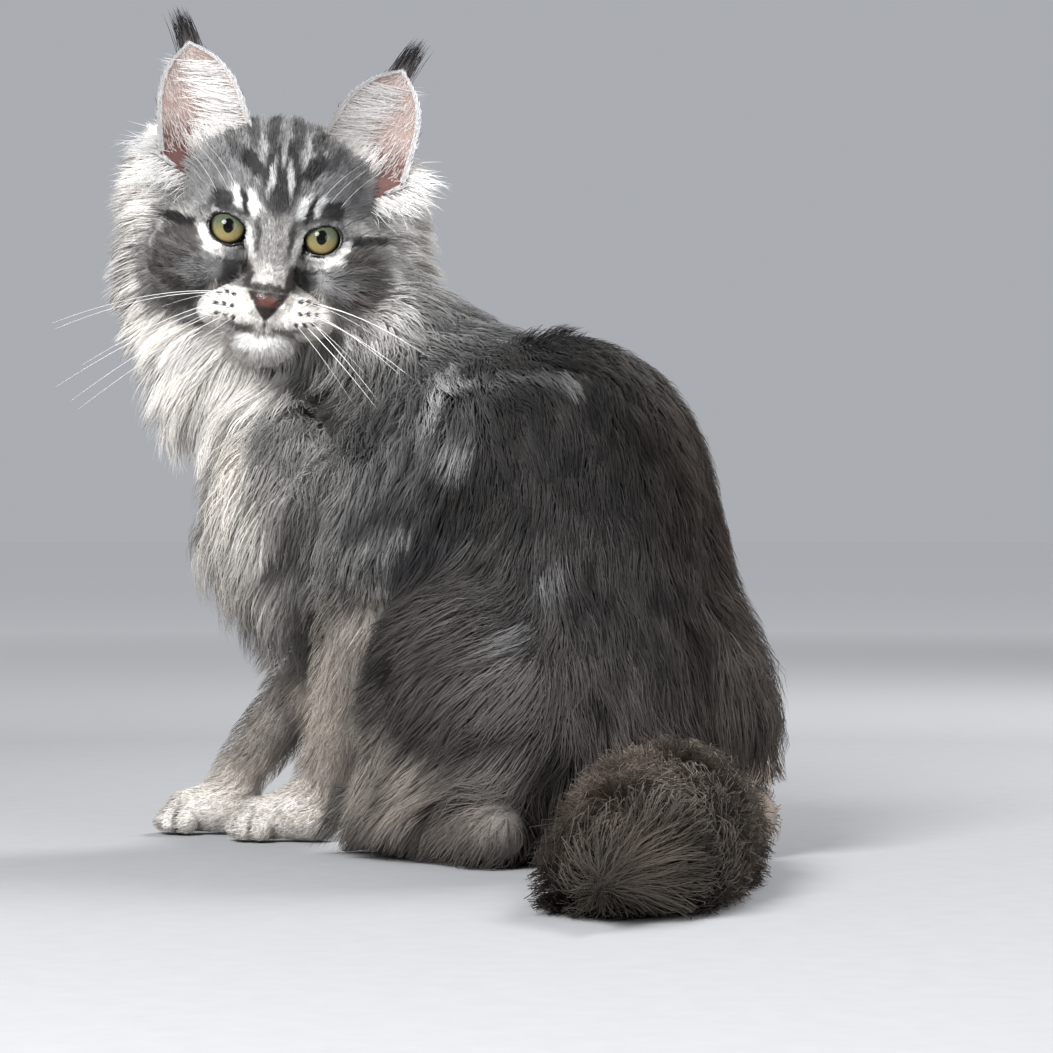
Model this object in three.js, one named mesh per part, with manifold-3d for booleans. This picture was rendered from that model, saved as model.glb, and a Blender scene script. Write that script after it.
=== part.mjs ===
// A maine coon cat, sitting, looking back over its left shoulder, as a still life-size model.
// Millimetres, +Z up. The pelvis faces -Y, the cat's left side is +X, and the floor is z = 0.
//
// The whole animal is one smooth form, coat included: ellipsoids for the masses and round
// cones for the limbs, blended into each other. Thin plane cuts part it where a person
// would name the parts, and each part is wrapped in facets of its own size.

import * as THREE from 'three';
import { mergeVertices } from 'three/addons/utils/BufferGeometryUtils.js';
import Module from 'manifold-3d';

const wasm = await Module();
wasm.setup();

// Driving dimensions
const GAP = 0.3;                // clear width of each cut between two parts
const FLOOR = 0;                // level of the flats that the cat sits on
const FACE_TURN = 144.5;         // heading of the face, degrees round from -Y towards +X
const HEAD_ROLL = 7;            // the head leans to its right
const HEAD_PITCH = -4;          // and is held slightly down
const EYE_MIDDLE = [69, -173, 339];
const EYE_SPACING = 52;
const EYE_RADIUS = 11.2;
const EYE_SETBACK = 7;          // the eyeball's centre, behind the plane of the lids
const EAR_TUFT = 22;
const TAIL_WIDTH = 120;         // of the plume, at its fullest
const TAIL_FLATNESS = 0.66;     // height of the lying plume over its width
const TAIL_STEPS = 8;
const PAW_RADIUS = 19;

// Cell sizes of the wrapped surface, finer where the form is finer
const FACE_CELL = 9.1;
const MUZZLE_CELL = 6.4;
const LIMB_CELL = 13;
const NECK_CELL = 17;
const TRUNK_CELL = 22;
const TAIL_CELL = 22;

const COAT = {
  silver: { color: 0x8f9092, roughness: 0.9 },
  charcoal: { color: 0x56565a, roughness: 0.9 },
  cream: { color: 0xd9d3c8, roughness: 0.9 },
  plume: { color: 0x8a8379, roughness: 0.9 },
  skin: { color: 0xb98f82, roughness: 0.7 },
  leather: { color: 0x7d4b41, roughness: 0.55 },
  iris: { color: 0x8f9440, roughness: 0.08 },
};

const radians = THREE.MathUtils.degToRad;
const vec = (x, y, z) => new THREE.Vector3(x, y, z);

// The head's own frame: across to the cat's left, forward out of the face, and up.
const headTurn = new THREE.Matrix4().makeRotationZ(radians(FACE_TURN));
headTurn.multiply(new THREE.Matrix4().makeRotationX(-radians(HEAD_PITCH)));
headTurn.multiply(new THREE.Matrix4().makeRotationY(radians(HEAD_ROLL)));
const headFrame = headTurn.clone().setPosition(...EYE_MIDDLE);

// A place in the head's frame: across, forward of the eyes and above them.
function onHead(across, forward, up) {
  return vec(across, -forward, up).applyMatrix4(headFrame);
}

function headward(across, forward, up) {
  return vec(across, -forward, up).transformDirection(headFrame);
}

// Masses and limbs, each a function from a point to its distance from the surface.

function mass(centre, radii, blend = 20, turn = new THREE.Matrix4()) {
  const inverse = turn.clone().setPosition(...centre).invert();
  const e = inverse.elements;
  const [a, b, c] = radii;
  const distance = (x, y, z) => {
    const u = (e[0] * x + e[4] * y + e[8] * z + e[12]) / a;
    const v = (e[1] * x + e[5] * y + e[9] * z + e[13]) / b;
    const w = (e[2] * x + e[6] * y + e[10] * z + e[14]) / c;
    const k0 = Math.hypot(u, v, w);
    const k1 = Math.hypot(u / a, v / b, w / c);
    return k0 * (k0 - 1) / Math.max(k1, 1e-6);
  };
  return { distance, blend };
}

function turnedMass(centre, radii, degrees, blend = 20) {
  return mass(centre, radii, blend, new THREE.Matrix4().makeRotationZ(radians(degrees)));
}

function limb(from, to, fromRadius, toRadius, blend = 14, flatness = 1) {
  const a = vec(from[0], from[1], from[2] / flatness);
  const ab = vec(to[0], to[1], to[2] / flatness).sub(a);
  const length2 = ab.lengthSq();
  const distance = (x, y, z) => {
    const px = x - a.x;
    const py = y - a.y;
    const pz = z / flatness - a.z;
    const t = THREE.MathUtils.clamp((px * ab.x + py * ab.y + pz * ab.z) / length2, 0, 1);
    const reach = Math.hypot(px - t * ab.x, py - t * ab.y, pz - t * ab.z);
    return (reach - fromRadius - (toRadius - fromRadius) * t) * flatness;
  };
  return { distance, blend };
}

function headMass(place, radii, blend = 10) {
  return mass(onHead(...place).toArray(), radii, blend, headTurn);
}

function headLimb(from, to, fromRadius, toRadius, blend = 10) {
  return limb(onHead(...from).toArray(), onHead(...to).toArray(), fromRadius, toRadius, blend);
}

// A chain counts as one mass, so that its links do not swell where they meet.
function chain(links, blend) {
  const distance = (x, y, z) => Math.min(...links.map((link) => link.distance(x, y, z)));
  return { distance, blend };
}

// Trunk, from the seat up to the withers, and the bib that hangs before the chest
const trunkForm = [
  mass([0, 4, 80], [82, 74, 84], 20),
  mass([-20, -25, 140], [94, 90, 92], 30),
  mass([-24, -40, 196], [86, 84, 88], 30),
  mass([-12, -98, 200], [78, 78, 82], 30),
  turnedMass([10, -142, 176], [68, 72, 78], 35, 25),
  turnedMass([54, -176, 197], [50, 60, 88], 50, 25),
];
const neckForm = [limb([-18, -130, 225], [18, -232, 318], 64, 54, 25)];

// Hind legs, folded, with the thigh's long coat down to the floor
const hindForm = [
  mass([58, -12, 84], [42, 72, 76], 22),
  mass([-64, 17, 80], [43, 72, 76], 22),
  mass([62, -50, 78], [30, 36, 48], 20),
  mass([-62, -36, 78], [30, 36, 46], 20),
  limb([-72, 56, 22], [-62, -30, 18], 25, 22, 12),
];
const hindFootLeft = [limb([72, 22, 20], [62, -92, 17], 24, PAW_RADIUS, 12)];
const hindFootRight = [limb([-72, 30, 20], [-62, -56, 17], 24, PAW_RADIUS, 12)];

// Forelegs, each a forearm that slants forward and a paw set down ahead of it
const armForm = [
  limb([48, -128, 185], [46, -116, 122], 40, 32, 22),
  limb([-12, -180, 190], [-2, -186, 125], 42, 30, 22),
];
const foreLegLeft = [limb([46, -116, 124], [38, -168, 36], 30, 19, 14)];
const foreLegRight = [limb([0, -186, 124], [42, -242, 36], 29, 18, 14)];
const forePawLeft = [limb([42, -176, 17], [65, -198, 16], PAW_RADIUS, 18, 9)];
const forePawRight = [limb([46, -247, 17], [66, -267, 16], PAW_RADIUS, 18, 9)];

// The tail's plume: a bent path on the floor, fullest before its middle
const TAIL_ROOT = [0, 60];
const TAIL_BEND = [50, 150];
const TAIL_TIP = [205, 264];

function tailPoint(t) {
  const along = [0, 1].map((i) => (
    (1 - t) ** 2 * TAIL_ROOT[i] + 2 * t * (1 - t) * TAIL_BEND[i] + t * t * TAIL_TIP[i]));
  return [...along, TAIL_FLATNESS * tailRadius(t) - 3];
}

function tailRadius(t) {
  return (TAIL_WIDTH / 2) * Math.sqrt(1 - ((t - 0.42) / 0.72) ** 2);
}

const tailLinks = [];
for (let i = 0; i < TAIL_STEPS; i++) {
  const t = i / TAIL_STEPS;
  const next = (i + 1) / TAIL_STEPS;
  const radii = [tailRadius(t), tailRadius(next)];
  tailLinks.push(limb(tailPoint(t), tailPoint(next), ...radii, 0, TAIL_FLATNESS));
}
const tailForm = [chain(tailLinks, 16)];

// Head: skull, brow, cheeks and the short square muzzle, in a ruff
const eyeAcross = EYE_SPACING / 2;
const sides = [1, -1];
const headForm = [
  headMass([0, -42, 14], [52, 52, 49], 12),
  headMass([0, -16, 22], [37, 25, 27], 12),
  ...sides.map((s) => headMass([s * 40, -26, -18], [27, 34, 32], 14)),
  headLimb([0, -6, 6], [0, 27, -29], 16, 11.5, 10),
  headMass([0, 12, -42], [29, 22, 17], 8),
  ...sides.map((s) => headMass([s * 19, 18, -45], [18.5, 15.5, 12], 5)),
  headMass([0, 14, -60], [18, 15, 12], 5),
  headLimb([0, -24, -43], [0, 6, -57], 30, 16, 10),
];
const ruffForm = [
  headMass([0, -54, -18], [90, 42, 82], 16),
  headMass([-6, -44, -72], [62, 38, 46], 16),
  ...sides.map((s) => headMass([s * 50, -58, 26], [34, 32, 42], 16)),
];
const socketForm = sides.map((s) => headMass([s * eyeAcross, 5, 0], [11.5, 12, 9]));
const SOCKET_SOFTNESS = 4;

function blended(forms) {
  return (x, y, z) => {
    let d = Infinity;
    for (const { distance, blend } of forms) {
      const next = distance(x, y, z);
      const h = Math.max(blend - Math.abs(d - next), 0) / Math.max(blend, 1e-6);
      d = Math.min(d, next) - h * h * blend / 4;
    }
    return d;
  };
}

const forelegs = [...armForm, ...foreLegLeft, ...foreLegRight];
const bodyField = blended([...trunkForm, ...neckForm, ...hindForm, ...forelegs, ...tailForm]);
const headField = blended([...trunkForm, ...neckForm, ...headForm, ...ruffForm]);
const sockets = blended(socketForm.map(({ distance }) => ({ distance, blend: 0 })));

function faceField(x, y, z) {
  const head = headField(x, y, z);
  const carve = -sockets(x, y, z);
  const h = Math.max(SOCKET_SOFTNESS - Math.abs(head - carve), 0) / SOCKET_SOFTNESS;
  return Math.max(head, carve) + h * h * SOCKET_SOFTNESS / 4;
}

// Cuts: a point on the plane, and the direction of the side named first

const cuts = {
  collar: [vec(10, -185, 268), vec(0.1, -0.45, 0.89)],
  face: [onHead(0, -60, 20), headward(0, 0.87, 0.5)],
  shoulder: [vec(0, -80, 170), vec(0, -1, 0.3)],
  elbows: [vec(20, -160, 106), vec(0, 0, 1)],
  wristLeft: [vec(38, -168, 36), vec(0.1, -0.5, -0.86)],
  wristRight: [vec(42, -242, 36), vec(0.3, -0.4, -0.86)],
  hips: [vec(0, -40, 140), vec(0, -0.15, 1)],
  thighLeft: [vec(36, 0, 80), vec(1, 0, 0.05)],
  thighRight: [vec(-34, 0, 80), vec(-1, 0, 0.05)],
  footLeft: [vec(66, -62, 30), vec(0, -0.55, -0.83)],
  footRight: [vec(-66, -34, 30), vec(0, -0.55, -0.83)],
  tailRoot: [vec(4, 80, 60), vec(0.3, 0.95, 0)],
  tailMiddle: [vec(...tailPoint(0.36)), vec(0.62, 0.78, 0)],
  tailTip: [vec(...tailPoint(0.7)), vec(0.82, 0.57, 0)],
};
for (const cut of Object.values(cuts)) {
  cut[1].normalize();
}

// A side of a cut, as the outward plane of the part that lies there.
function beyond(name) {
  const [point, towards] = cuts[name];
  return { point, outward: towards.clone().negate() };
}

function before(name) {
  const [point, towards] = cuts[name];
  return { point, outward: towards.clone() };
}

// Solids: closed meshes to manifolds and back

function solid(geometry) {
  const bare = geometry.clone();
  bare.deleteAttribute('normal');
  bare.deleteAttribute('uv');
  const merged = mergeVertices(bare, 1e-5);
  return new wasm.Manifold(new wasm.Mesh({
    numProp: 3,
    vertProperties: new Float32Array(merged.attributes.position.array),
    triVerts: new Uint32Array(merged.index.array),
  }));
}

// Corners closer than WELD are one corner, and faces that shrink to an edge are dropped.
const WELD = 0.01;

function geometryOf(manifold) {
  const mesh = manifold.getMesh();
  const geometry = new THREE.BufferGeometry();
  geometry.setAttribute('position', new THREE.BufferAttribute(mesh.vertProperties, 3));
  geometry.setIndex(new THREE.BufferAttribute(mesh.triVerts, 1));
  const welded = mergeVertices(geometry, WELD);
  const corners = welded.index.array;
  const kept = [];
  for (let i = 0; i < corners.length; i += 3) {
    const [p, q, r] = corners.slice(i, i + 3);
    if (p !== q && q !== r && r !== p) {
      kept.push(p, q, r);
    }
  }
  welded.setIndex(kept);
  return welded;
}

// Everything behind a plane, held back from it by half a gap.
const HALF_SPACE = 1600;

function halfSpace({ point, outward }, setback = GAP / 2) {
  const box = new THREE.BoxGeometry(HALF_SPACE, HALF_SPACE, HALF_SPACE);
  box.translate(0, 0, -HALF_SPACE / 2 - setback);
  box.applyQuaternion(new THREE.Quaternion().setFromUnitVectors(vec(0, 0, 1), outward));
  box.translate(point.x, point.y, point.z);
  return solid(box);
}

// The space of the whole cat, searched for its surface
const SPACE = new THREE.Box3(vec(-140, -330, -30), vec(290, 370, 450));

// The eight corners of a cell as bits: true where those set hang together along its edges.
function hangsTogether(bits) {
  let reached = bits & -bits;
  for (let pass = 0; pass < 4; pass++) {
    for (let corner = 0; corner < 8; corner++) {
      const neighbours = (1 << (corner ^ 1)) | (1 << (corner ^ 2)) | (1 << (corner ^ 4));
      if ((bits >> corner) & 1 && reached & neighbours) {
        reached |= 1 << corner;
      }
    }
  }
  return reached === bits;
}

// Fills each crevice that is too narrow for the cells, so that the surface never touches itself.
function fillCrevices(values, n, step) {
  let changed = true;
  while (changed) {
    changed = false;
    for (let k = 0; k < n[2] - 1; k++) {
      for (let j = 0; j < n[1] - 1; j++) {
        for (let i = 0; i < n[0] - 1; i++) {
          const key = i + j * step[1] + k * step[2];
          let inside = 0;
          let nearest = -1;
          for (let corner = 0; corner < 8; corner++) {
            const at = key + (corner & 1) + ((corner >> 1) & 1) * step[1] + (corner >> 2) * step[2];
            if (values[at] < 0) {
              inside |= 1 << corner;
            } else if (nearest < 0 || values[at] < values[nearest]) {
              nearest = at;
            }
          }
          if (!hangsTogether(inside) || !hangsTogether(255 ^ inside)) {
            values[nearest] = -values[nearest];
            changed = true;
          }
        }
      }
    }
  }
}

// Wraps a field in quads, one corner for each cell that the surface passes through.
function wrap(field, cell, planes) {
  const size = SPACE.getSize(vec());
  const n = [size.x, size.y, size.z].map((length) => Math.ceil(length / cell) + 1);
  const step = [1, n[0], n[0] * n[1]];
  const at = (i, axis) => SPACE.min.getComponent(axis) + i * cell;
  const values = new Float32Array(n[0] * n[1] * n[2]).fill(cell);
  const point = vec();
  const margin = 2 * cell;
  for (let k = 1; k < n[2] - 1; k++) {
    for (let j = 1; j < n[1] - 1; j++) {
      for (let i = 1; i < n[0] - 1; i++) {
        point.set(at(i, 0), at(j, 1), at(k, 2));
        let clip = FLOOR - point.z - margin;
        for (const plane of planes) {
          clip = Math.max(clip, point.clone().sub(plane.point).dot(plane.outward) - margin);
        }
        const d = clip > cell ? clip : Math.max(clip, field(point.x, point.y, point.z));
        values[i + j * step[1] + k * step[2]] = d === 0 ? 1e-4 : d;
      }
    }
  }
  fillCrevices(values, n, step);
  const corners = new Map();
  const positions = [];
  const cornerOf = (i, j, k) => {
    const key = i + j * step[1] + k * step[2];
    if (!corners.has(key)) {
      const sum = vec();
      let count = 0;
      for (let axis = 0; axis < 3; axis++) {
        const others = [0, 1, 2].filter((a) => a !== axis);
        for (let edge = 0; edge < 4; edge++) {
          const offset = [0, 0, 0];
          offset[others[0]] = edge & 1;
          offset[others[1]] = edge >> 1;
          const start = key + offset[0] + offset[1] * step[1] + offset[2] * step[2];
          const a = values[start];
          const b = values[start + step[axis]];
          if ((a < 0) !== (b < 0)) {
            offset[axis] = a / (a - b);
            sum.add(vec(at(i + offset[0], 0), at(j + offset[1], 1), at(k + offset[2], 2)));
            count++;
          }
        }
      }
      corners.set(key, positions.length / 3);
      positions.push(...sum.divideScalar(count).toArray());
    }
    return corners.get(key);
  };
  const index = [];
  for (let k = 1; k < n[2] - 1; k++) {
    for (let j = 1; j < n[1] - 1; j++) {
      for (let i = 1; i < n[0] - 1; i++) {
        const here = [i, j, k];
        const a = values[i + j * step[1] + k * step[2]];
        for (let axis = 0; axis < 3; axis++) {
          const b = values[i + j * step[1] + k * step[2] + step[axis]];
          if ((a < 0) === (b < 0)) {
            continue;
          }
          const u = (axis + 1) % 3;
          const v = (axis + 2) % 3;
          const quad = [[0, 0], [1, 0], [1, 1], [0, 1]].map(([du, dv]) => {
            const cellAt = [...here];
            cellAt[u] -= du;
            cellAt[v] -= dv;
            return cornerOf(...cellAt);
          });
          if (a < 0) {
            quad.reverse();
          }
          index.push(quad[0], quad[2], quad[1], quad[0], quad[3], quad[2]);
        }
      }
    }
  }
  const geometry = new THREE.BufferGeometry();
  geometry.setAttribute('position', new THREE.Float32BufferAttribute(positions, 3));
  geometry.setIndex(index);
  return geometry;
}

function largest(manifold) {
  const pieces = manifold.decompose();
  return pieces.reduce((best, piece) => (piece.volume() > best.volume() ? piece : best));
}

// A part of the form: wrapped, then cut by its planes and by the floor.
function parted(field, cell, planes) {
  let part = solid(wrap(field, cell, planes));
  for (const plane of planes) {
    part = part.intersect(halfSpace(plane));
  }
  return part.intersect(halfSpace({ point: vec(0, 0, FLOOR), outward: vec(0, 0, -1) }, 0));
}

const cat = new THREE.Group();

function addPart(name, manifold, finish) {
  const material = new THREE.MeshStandardMaterial({ ...COAT[finish], metalness: 0 });
  const mesh = new THREE.Mesh(geometryOf(largest(manifold)), material);
  mesh.name = name;
  cat.add(mesh);
}

// Trunk
addPart('trunk', parted(bodyField, TRUNK_CELL,
  [before('collar'), before('shoulder'), beyond('hips'), before('tailRoot')]), 'charcoal');
addPart('chest', parted(bodyField, TRUNK_CELL,
  [before('collar'), beyond('shoulder'), beyond('elbows')]), 'silver');
addPart('rump', parted(bodyField, TRUNK_CELL,
  [before('shoulder'), before('hips'), before('thighLeft'), before('thighRight'),
    before('tailRoot')]), 'charcoal');

// Legs
const legs = [
  ['left', hindFootLeft, foreLegLeft, forePawLeft],
  ['right', hindFootRight, foreLegRight, forePawRight],
];
for (const [side, hindFoot, foreLeg, forePaw] of legs) {
  const Side = side === 'left' ? 'Left' : 'Right';
  const thighField = blended([...trunkForm, ...hindForm, ...hindFoot]);
  addPart(`thigh_${side}`, parted(thighField, TRUNK_CELL - 2,
    [before('shoulder'), before('hips'), beyond(`thigh${Side}`), before(`foot${Side}`),
      before('tailRoot')]), 'silver');
  addPart(`hind_foot_${side}`, parted(blended(hindFoot), LIMB_CELL,
    [beyond(`foot${Side}`)]), 'cream');
  const foreField = blended([...armForm, ...foreLeg, ...forePaw]);
  addPart(`foreleg_${side}`, parted(foreField, LIMB_CELL,
    [beyond('shoulder'), before('elbows'), before(`wrist${Side}`)]), 'cream');
  addPart(`forepaw_${side}`, parted(foreField, LIMB_CELL,
    [beyond(`wrist${Side}`), before('elbows')]), 'cream');
}

// Tail
const tailParts = {
  tail_base: [beyond('tailRoot'), before('tailMiddle')],
  tail_middle: [beyond('tailMiddle'), before('tailTip')],
  tail_tip: [beyond('tailTip')],
};
for (const [name, planes] of Object.entries(tailParts)) {
  addPart(name, parted(bodyField, TAIL_CELL, planes), 'plume');
}

// Head and neck. The muzzle and the lower jaw are let into the front of the head.
const NOSE_RADII = [11.5, 8, 7.5];
const NOSE_PLACE = [0, 32, -39];
const MUZZLE = { halfWidth: 40, back: 2, top: -27, mouth: -53, bottom: -75, front: 70 };

function ball(place, radii, grow = 0) {
  const geometry = new THREE.IcosahedronGeometry(1, 2);
  geometry.scale(radii[0] + grow, radii[1] + grow, radii[2] + grow);
  geometry.applyMatrix4(headTurn);
  geometry.translate(...onHead(...place).toArray());
  return solid(geometry);
}

function headBlock(bottom, top, grow) {
  const { halfWidth, back, front } = MUZZLE;
  const depth = front - back + 2 * grow;
  const geometry = new THREE.BoxGeometry(2 * (halfWidth + grow), depth, top - bottom + 2 * grow);
  geometry.translate(0, -(front + back) / 2, (top + bottom) / 2);
  geometry.applyMatrix4(headFrame);
  return solid(geometry);
}

const eyeRadii = [EYE_RADIUS, EYE_RADIUS, EYE_RADIUS];
const headPlanes = [beyond('collar'), beyond('face')];
const mouthBlock = headBlock(MUZZLE.bottom, MUZZLE.top, GAP / 2);
const noseHole = ball(NOSE_PLACE, NOSE_RADII, GAP);
let head = parted(faceField, FACE_CELL, headPlanes).subtract(mouthBlock);
for (const s of sides) {
  head = head.subtract(ball([s * eyeAcross, -EYE_SETBACK, 0], eyeRadii, GAP));
}
head = head.subtract(noseHole);
addPart('head', head, 'silver');
const muzzleForm = parted(faceField, MUZZLE_CELL,
  [...headPlanes, { point: onHead(0, MUZZLE.back, 0), outward: headward(0, -1, 0) }]);
const muzzle = muzzleForm.intersect(headBlock(MUZZLE.mouth, MUZZLE.top, -GAP / 2));
addPart('muzzle', muzzle.subtract(noseHole), 'cream');
const jaw = muzzleForm.intersect(headBlock(MUZZLE.bottom, MUZZLE.mouth, -GAP / 2));
addPart('lower_jaw', jaw, 'cream');
addPart('nose', ball(NOSE_PLACE, NOSE_RADII), 'leather');
addPart('neck', parted(headField, NECK_CELL, [beyond('collar'), before('face')]), 'cream');

sides.forEach((s, i) => {
  addPart(['eye_left', 'eye_right'][i], ball([s * eyeAcross, -EYE_SETBACK, 0], eyeRadii), 'iris');
});

// Ears: cupped sheets lofted from the base to the tip, and on to the end of the tuft
const EAR_RINGS = 8;
const EAR_SEGMENTS = 6;
const EAR_BASE = vec(42, -38, 40);
const EAR_TIP = vec(59.5, -36, 98);
const EAR_SPREAD = vec(0.93, -0.05, -0.37);
const TUFT_LEAN = vec(0.35, 0.05, 0.93);
const EAR_HALF_WIDTH = 28.5;
const EAR_CUP = 17;
const EAR_THICKNESS = 7;
const EAR_EDGE = 0.7;            // how far the wall thins towards its edges
const EAR_ROOT = 20;            // depth of the ear's foot inside the head

// One ring of the loft: out along the back of the ear and home along its hollow.
function earRing(centre, across, facing, halfWidth, cup, thickness) {
  const ring = [];
  for (const hollow of [-1, 1]) {
    for (let j = 0; j < EAR_SEGMENTS; j++) {
      const t = -hollow * (2 * j / EAR_SEGMENTS - 1);
      const wall = hollow * (thickness / 2) * Math.sqrt(1 - EAR_EDGE * t * t);
      const place = centre.clone().addScaledVector(across, t * halfWidth);
      ring.push(place.addScaledVector(facing, wall - cup * (1 - t * t)));
    }
  }
  return ring;
}

function ear(s) {
  const axis = EAR_TIP.clone().sub(EAR_BASE).normalize();
  const across = EAR_SPREAD.clone().addScaledVector(axis, -EAR_SPREAD.dot(axis)).normalize();
  const facing = vec().crossVectors(axis, across).normalize();
  const height = EAR_TIP.distanceTo(EAR_BASE);
  const rings = [];
  for (let i = 0; i <= EAR_RINGS; i++) {
    const along = -EAR_ROOT + (height + EAR_ROOT) * i / EAR_RINGS;
    const t = Math.max(along, 0) / height;
    const width = EAR_HALF_WIDTH * (1 - 0.3 * t - 0.58 * t ** 2.6);
    const centre = EAR_BASE.clone().addScaledVector(axis, along);
    const thickness = EAR_THICKNESS * (1 - 0.55 * t);
    rings.push(earRing(centre, across, facing, width, EAR_CUP * (1 - t) ** 0.8, thickness));
  }
  const tuftEnd = EAR_TIP.clone().addScaledVector(TUFT_LEAN, EAR_TUFT);
  rings.push(earRing(tuftEnd, across, facing, 1.5, 0, 2));
  const around = 2 * EAR_SEGMENTS;
  const positions = rings.flat().flatMap((p) => onHead(s * p.x, p.y, p.z).toArray());
  const index = [];
  const face = (a, b, c) => index.push(...(s > 0 ? [a, c, b] : [a, b, c]));
  for (let r = 0; r < rings.length - 1; r++) {
    for (let j = 0; j < around; j++) {
      const a = r * around + j;
      const b = r * around + (j + 1) % around;
      face(a, b, a + around);
      face(b, b + around, a + around);
    }
  }
  const last = (rings.length - 1) * around;
  for (let j = 0; j < EAR_SEGMENTS; j++) {
    const near = [j, j + 1, around - j - 1, (around - j) % around];
    face(near[0], near[2], near[1]);
    face(last + near[0], last + near[1], last + near[2]);
    if (j > 0) {
      face(near[0], near[3], near[2]);
      face(last + near[0], last + near[2], last + near[3]);
    }
  }
  const geometry = new THREE.BufferGeometry();
  geometry.setAttribute('position', new THREE.Float32BufferAttribute(positions, 3));
  geometry.setIndex(index);
  return solid(geometry);
}

const EAR_SEAT_GAP = 0.5;
const seatField = (x, y, z) => faceField(x, y, z) - EAR_SEAT_GAP;
const earSeat = solid(wrap(seatField, FACE_CELL, headPlanes));
sides.forEach((s, i) => {
  addPart(['ear_left', 'ear_right'][i], ear(s).subtract(earSeat), 'skin');
});

// The origin is on the floor, under the middle of the whole cat.
const bounds = new THREE.Box3().setFromObject(cat);
const middle = bounds.getCenter(vec());
cat.position.set(-middle.x, -middle.y, 0);
cat.updateMatrixWorld(true);

export default cat;
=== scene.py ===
# %% [markdown]
# A sitting maine coon
#
# This lesson makes the fine surface of a life-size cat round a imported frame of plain
# solids. The solids reach out to the tips of the coat. Here one smooth skin is laid
# inside them, with eyes, ears, nose and toes, and a coat of many small blades of hair
# is combed over it.
#
# Fur could be made with Blender's hair curves, but those aren't mesh, and this cat has
# to travel as mesh. So every hair here is a thin strip of five to nine triangles. They
# are worked out as arrays, a whole region of the body at a time, which is quick. All
# lengths are millimetres until a mesh is written, and MM turns them into metres.

# %% Load the frame
import math

import bmesh
import bpy
import numpy as np
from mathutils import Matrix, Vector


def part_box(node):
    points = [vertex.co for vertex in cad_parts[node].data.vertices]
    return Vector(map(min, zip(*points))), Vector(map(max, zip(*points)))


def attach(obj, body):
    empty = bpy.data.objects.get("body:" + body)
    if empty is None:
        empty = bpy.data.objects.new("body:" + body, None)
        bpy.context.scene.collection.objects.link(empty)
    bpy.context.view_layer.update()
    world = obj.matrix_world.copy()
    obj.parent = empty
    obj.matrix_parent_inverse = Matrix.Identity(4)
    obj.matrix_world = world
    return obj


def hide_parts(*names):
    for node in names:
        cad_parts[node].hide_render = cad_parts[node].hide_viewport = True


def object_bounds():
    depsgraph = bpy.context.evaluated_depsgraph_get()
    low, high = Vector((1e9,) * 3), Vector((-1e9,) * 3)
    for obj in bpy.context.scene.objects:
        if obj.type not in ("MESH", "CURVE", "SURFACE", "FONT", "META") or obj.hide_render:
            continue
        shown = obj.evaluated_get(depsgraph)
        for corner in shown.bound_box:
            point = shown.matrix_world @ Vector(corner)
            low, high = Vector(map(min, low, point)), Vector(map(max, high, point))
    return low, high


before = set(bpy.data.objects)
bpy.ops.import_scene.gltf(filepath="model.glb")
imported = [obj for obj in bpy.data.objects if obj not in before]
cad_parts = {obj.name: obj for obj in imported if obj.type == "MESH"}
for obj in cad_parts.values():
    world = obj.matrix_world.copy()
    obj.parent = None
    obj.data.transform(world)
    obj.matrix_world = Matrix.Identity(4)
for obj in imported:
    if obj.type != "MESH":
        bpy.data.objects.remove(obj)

import openvdb
from mathutils import Vector, kdtree

cad_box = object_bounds()
MM = 0.001
rng = np.random.default_rng(7)
print("the frame has", len(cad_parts), "nodes")

# %% [markdown]
# Directions first. A sitting cat that looks back over its shoulder has a face that is
# turned, tilted and nodded against its body. It would be hard to shape it in the body's
# own directions, so the face gets a frame of its own: across to the cat's left, ahead
# out of the face, and up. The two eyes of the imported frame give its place, so that
# the face always sits where the solids have it.

# %% The head's frame, from the two eyes
FACE_TURN, HEAD_ROLL, HEAD_PITCH = (math.radians(a) for a in (144.5, 7.0, -4.0))
EYE_RADIUS, EYE_SETBACK = 11.2, 7.0


def head_axes():
    left = np.array([math.cos(FACE_TURN), math.sin(FACE_TURN), 0.0])
    ahead = np.array([math.sin(FACE_TURN), -math.cos(FACE_TURN), 0.0])
    up = np.array([0.0, 0.0, 1.0])
    c, s = math.cos(HEAD_PITCH), math.sin(HEAD_PITCH)
    ahead, up = ahead * c + up * s, up * c - ahead * s
    c, s = math.cos(HEAD_ROLL), math.sin(HEAD_ROLL)
    left, up = left * c - up * s, up * c + left * s
    return np.array([left, ahead, up])


def box_middle(node):
    low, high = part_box(node)
    return (np.array(low) + np.array(high)) / 2 / MM


HEAD = head_axes()
eye_left, eye_right = box_middle("eye_left"), box_middle("eye_right")
EYES = (eye_left + eye_right) / 2 + EYE_SETBACK * HEAD[1]
EYE_ACROSS = float(np.linalg.norm(eye_left - eye_right)) / 2
SHIFT = EYES - np.array([69.0, -173.0, 339.0])      # from the body's own layout to the row's frame


def on_head(across, ahead, up):
    return EYES + np.array([across, ahead, up]) @ HEAD


def in_head(p):
    return (p - EYES) @ HEAD.T


print("eyes", EYES.round(1), "half spacing", round(EYE_ACROSS, 2), "shift", SHIFT.round(1))

# %% [markdown]
# The body could be modelled as a mesh by hand, pushed about in sculpt mode. A list of
# soft masses is easier to measure and to change, in the way that a sculptor lumps clay
# on a wire. Each mass names its sort of coat, and the sort says how long the hair
# grows, how far it stands over the skin, how wide a blade is and how big a lock. A
# maine coon's hair is shortest on the nose and the feet, and longest on the ruff, the
# bib and the tail.

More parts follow.
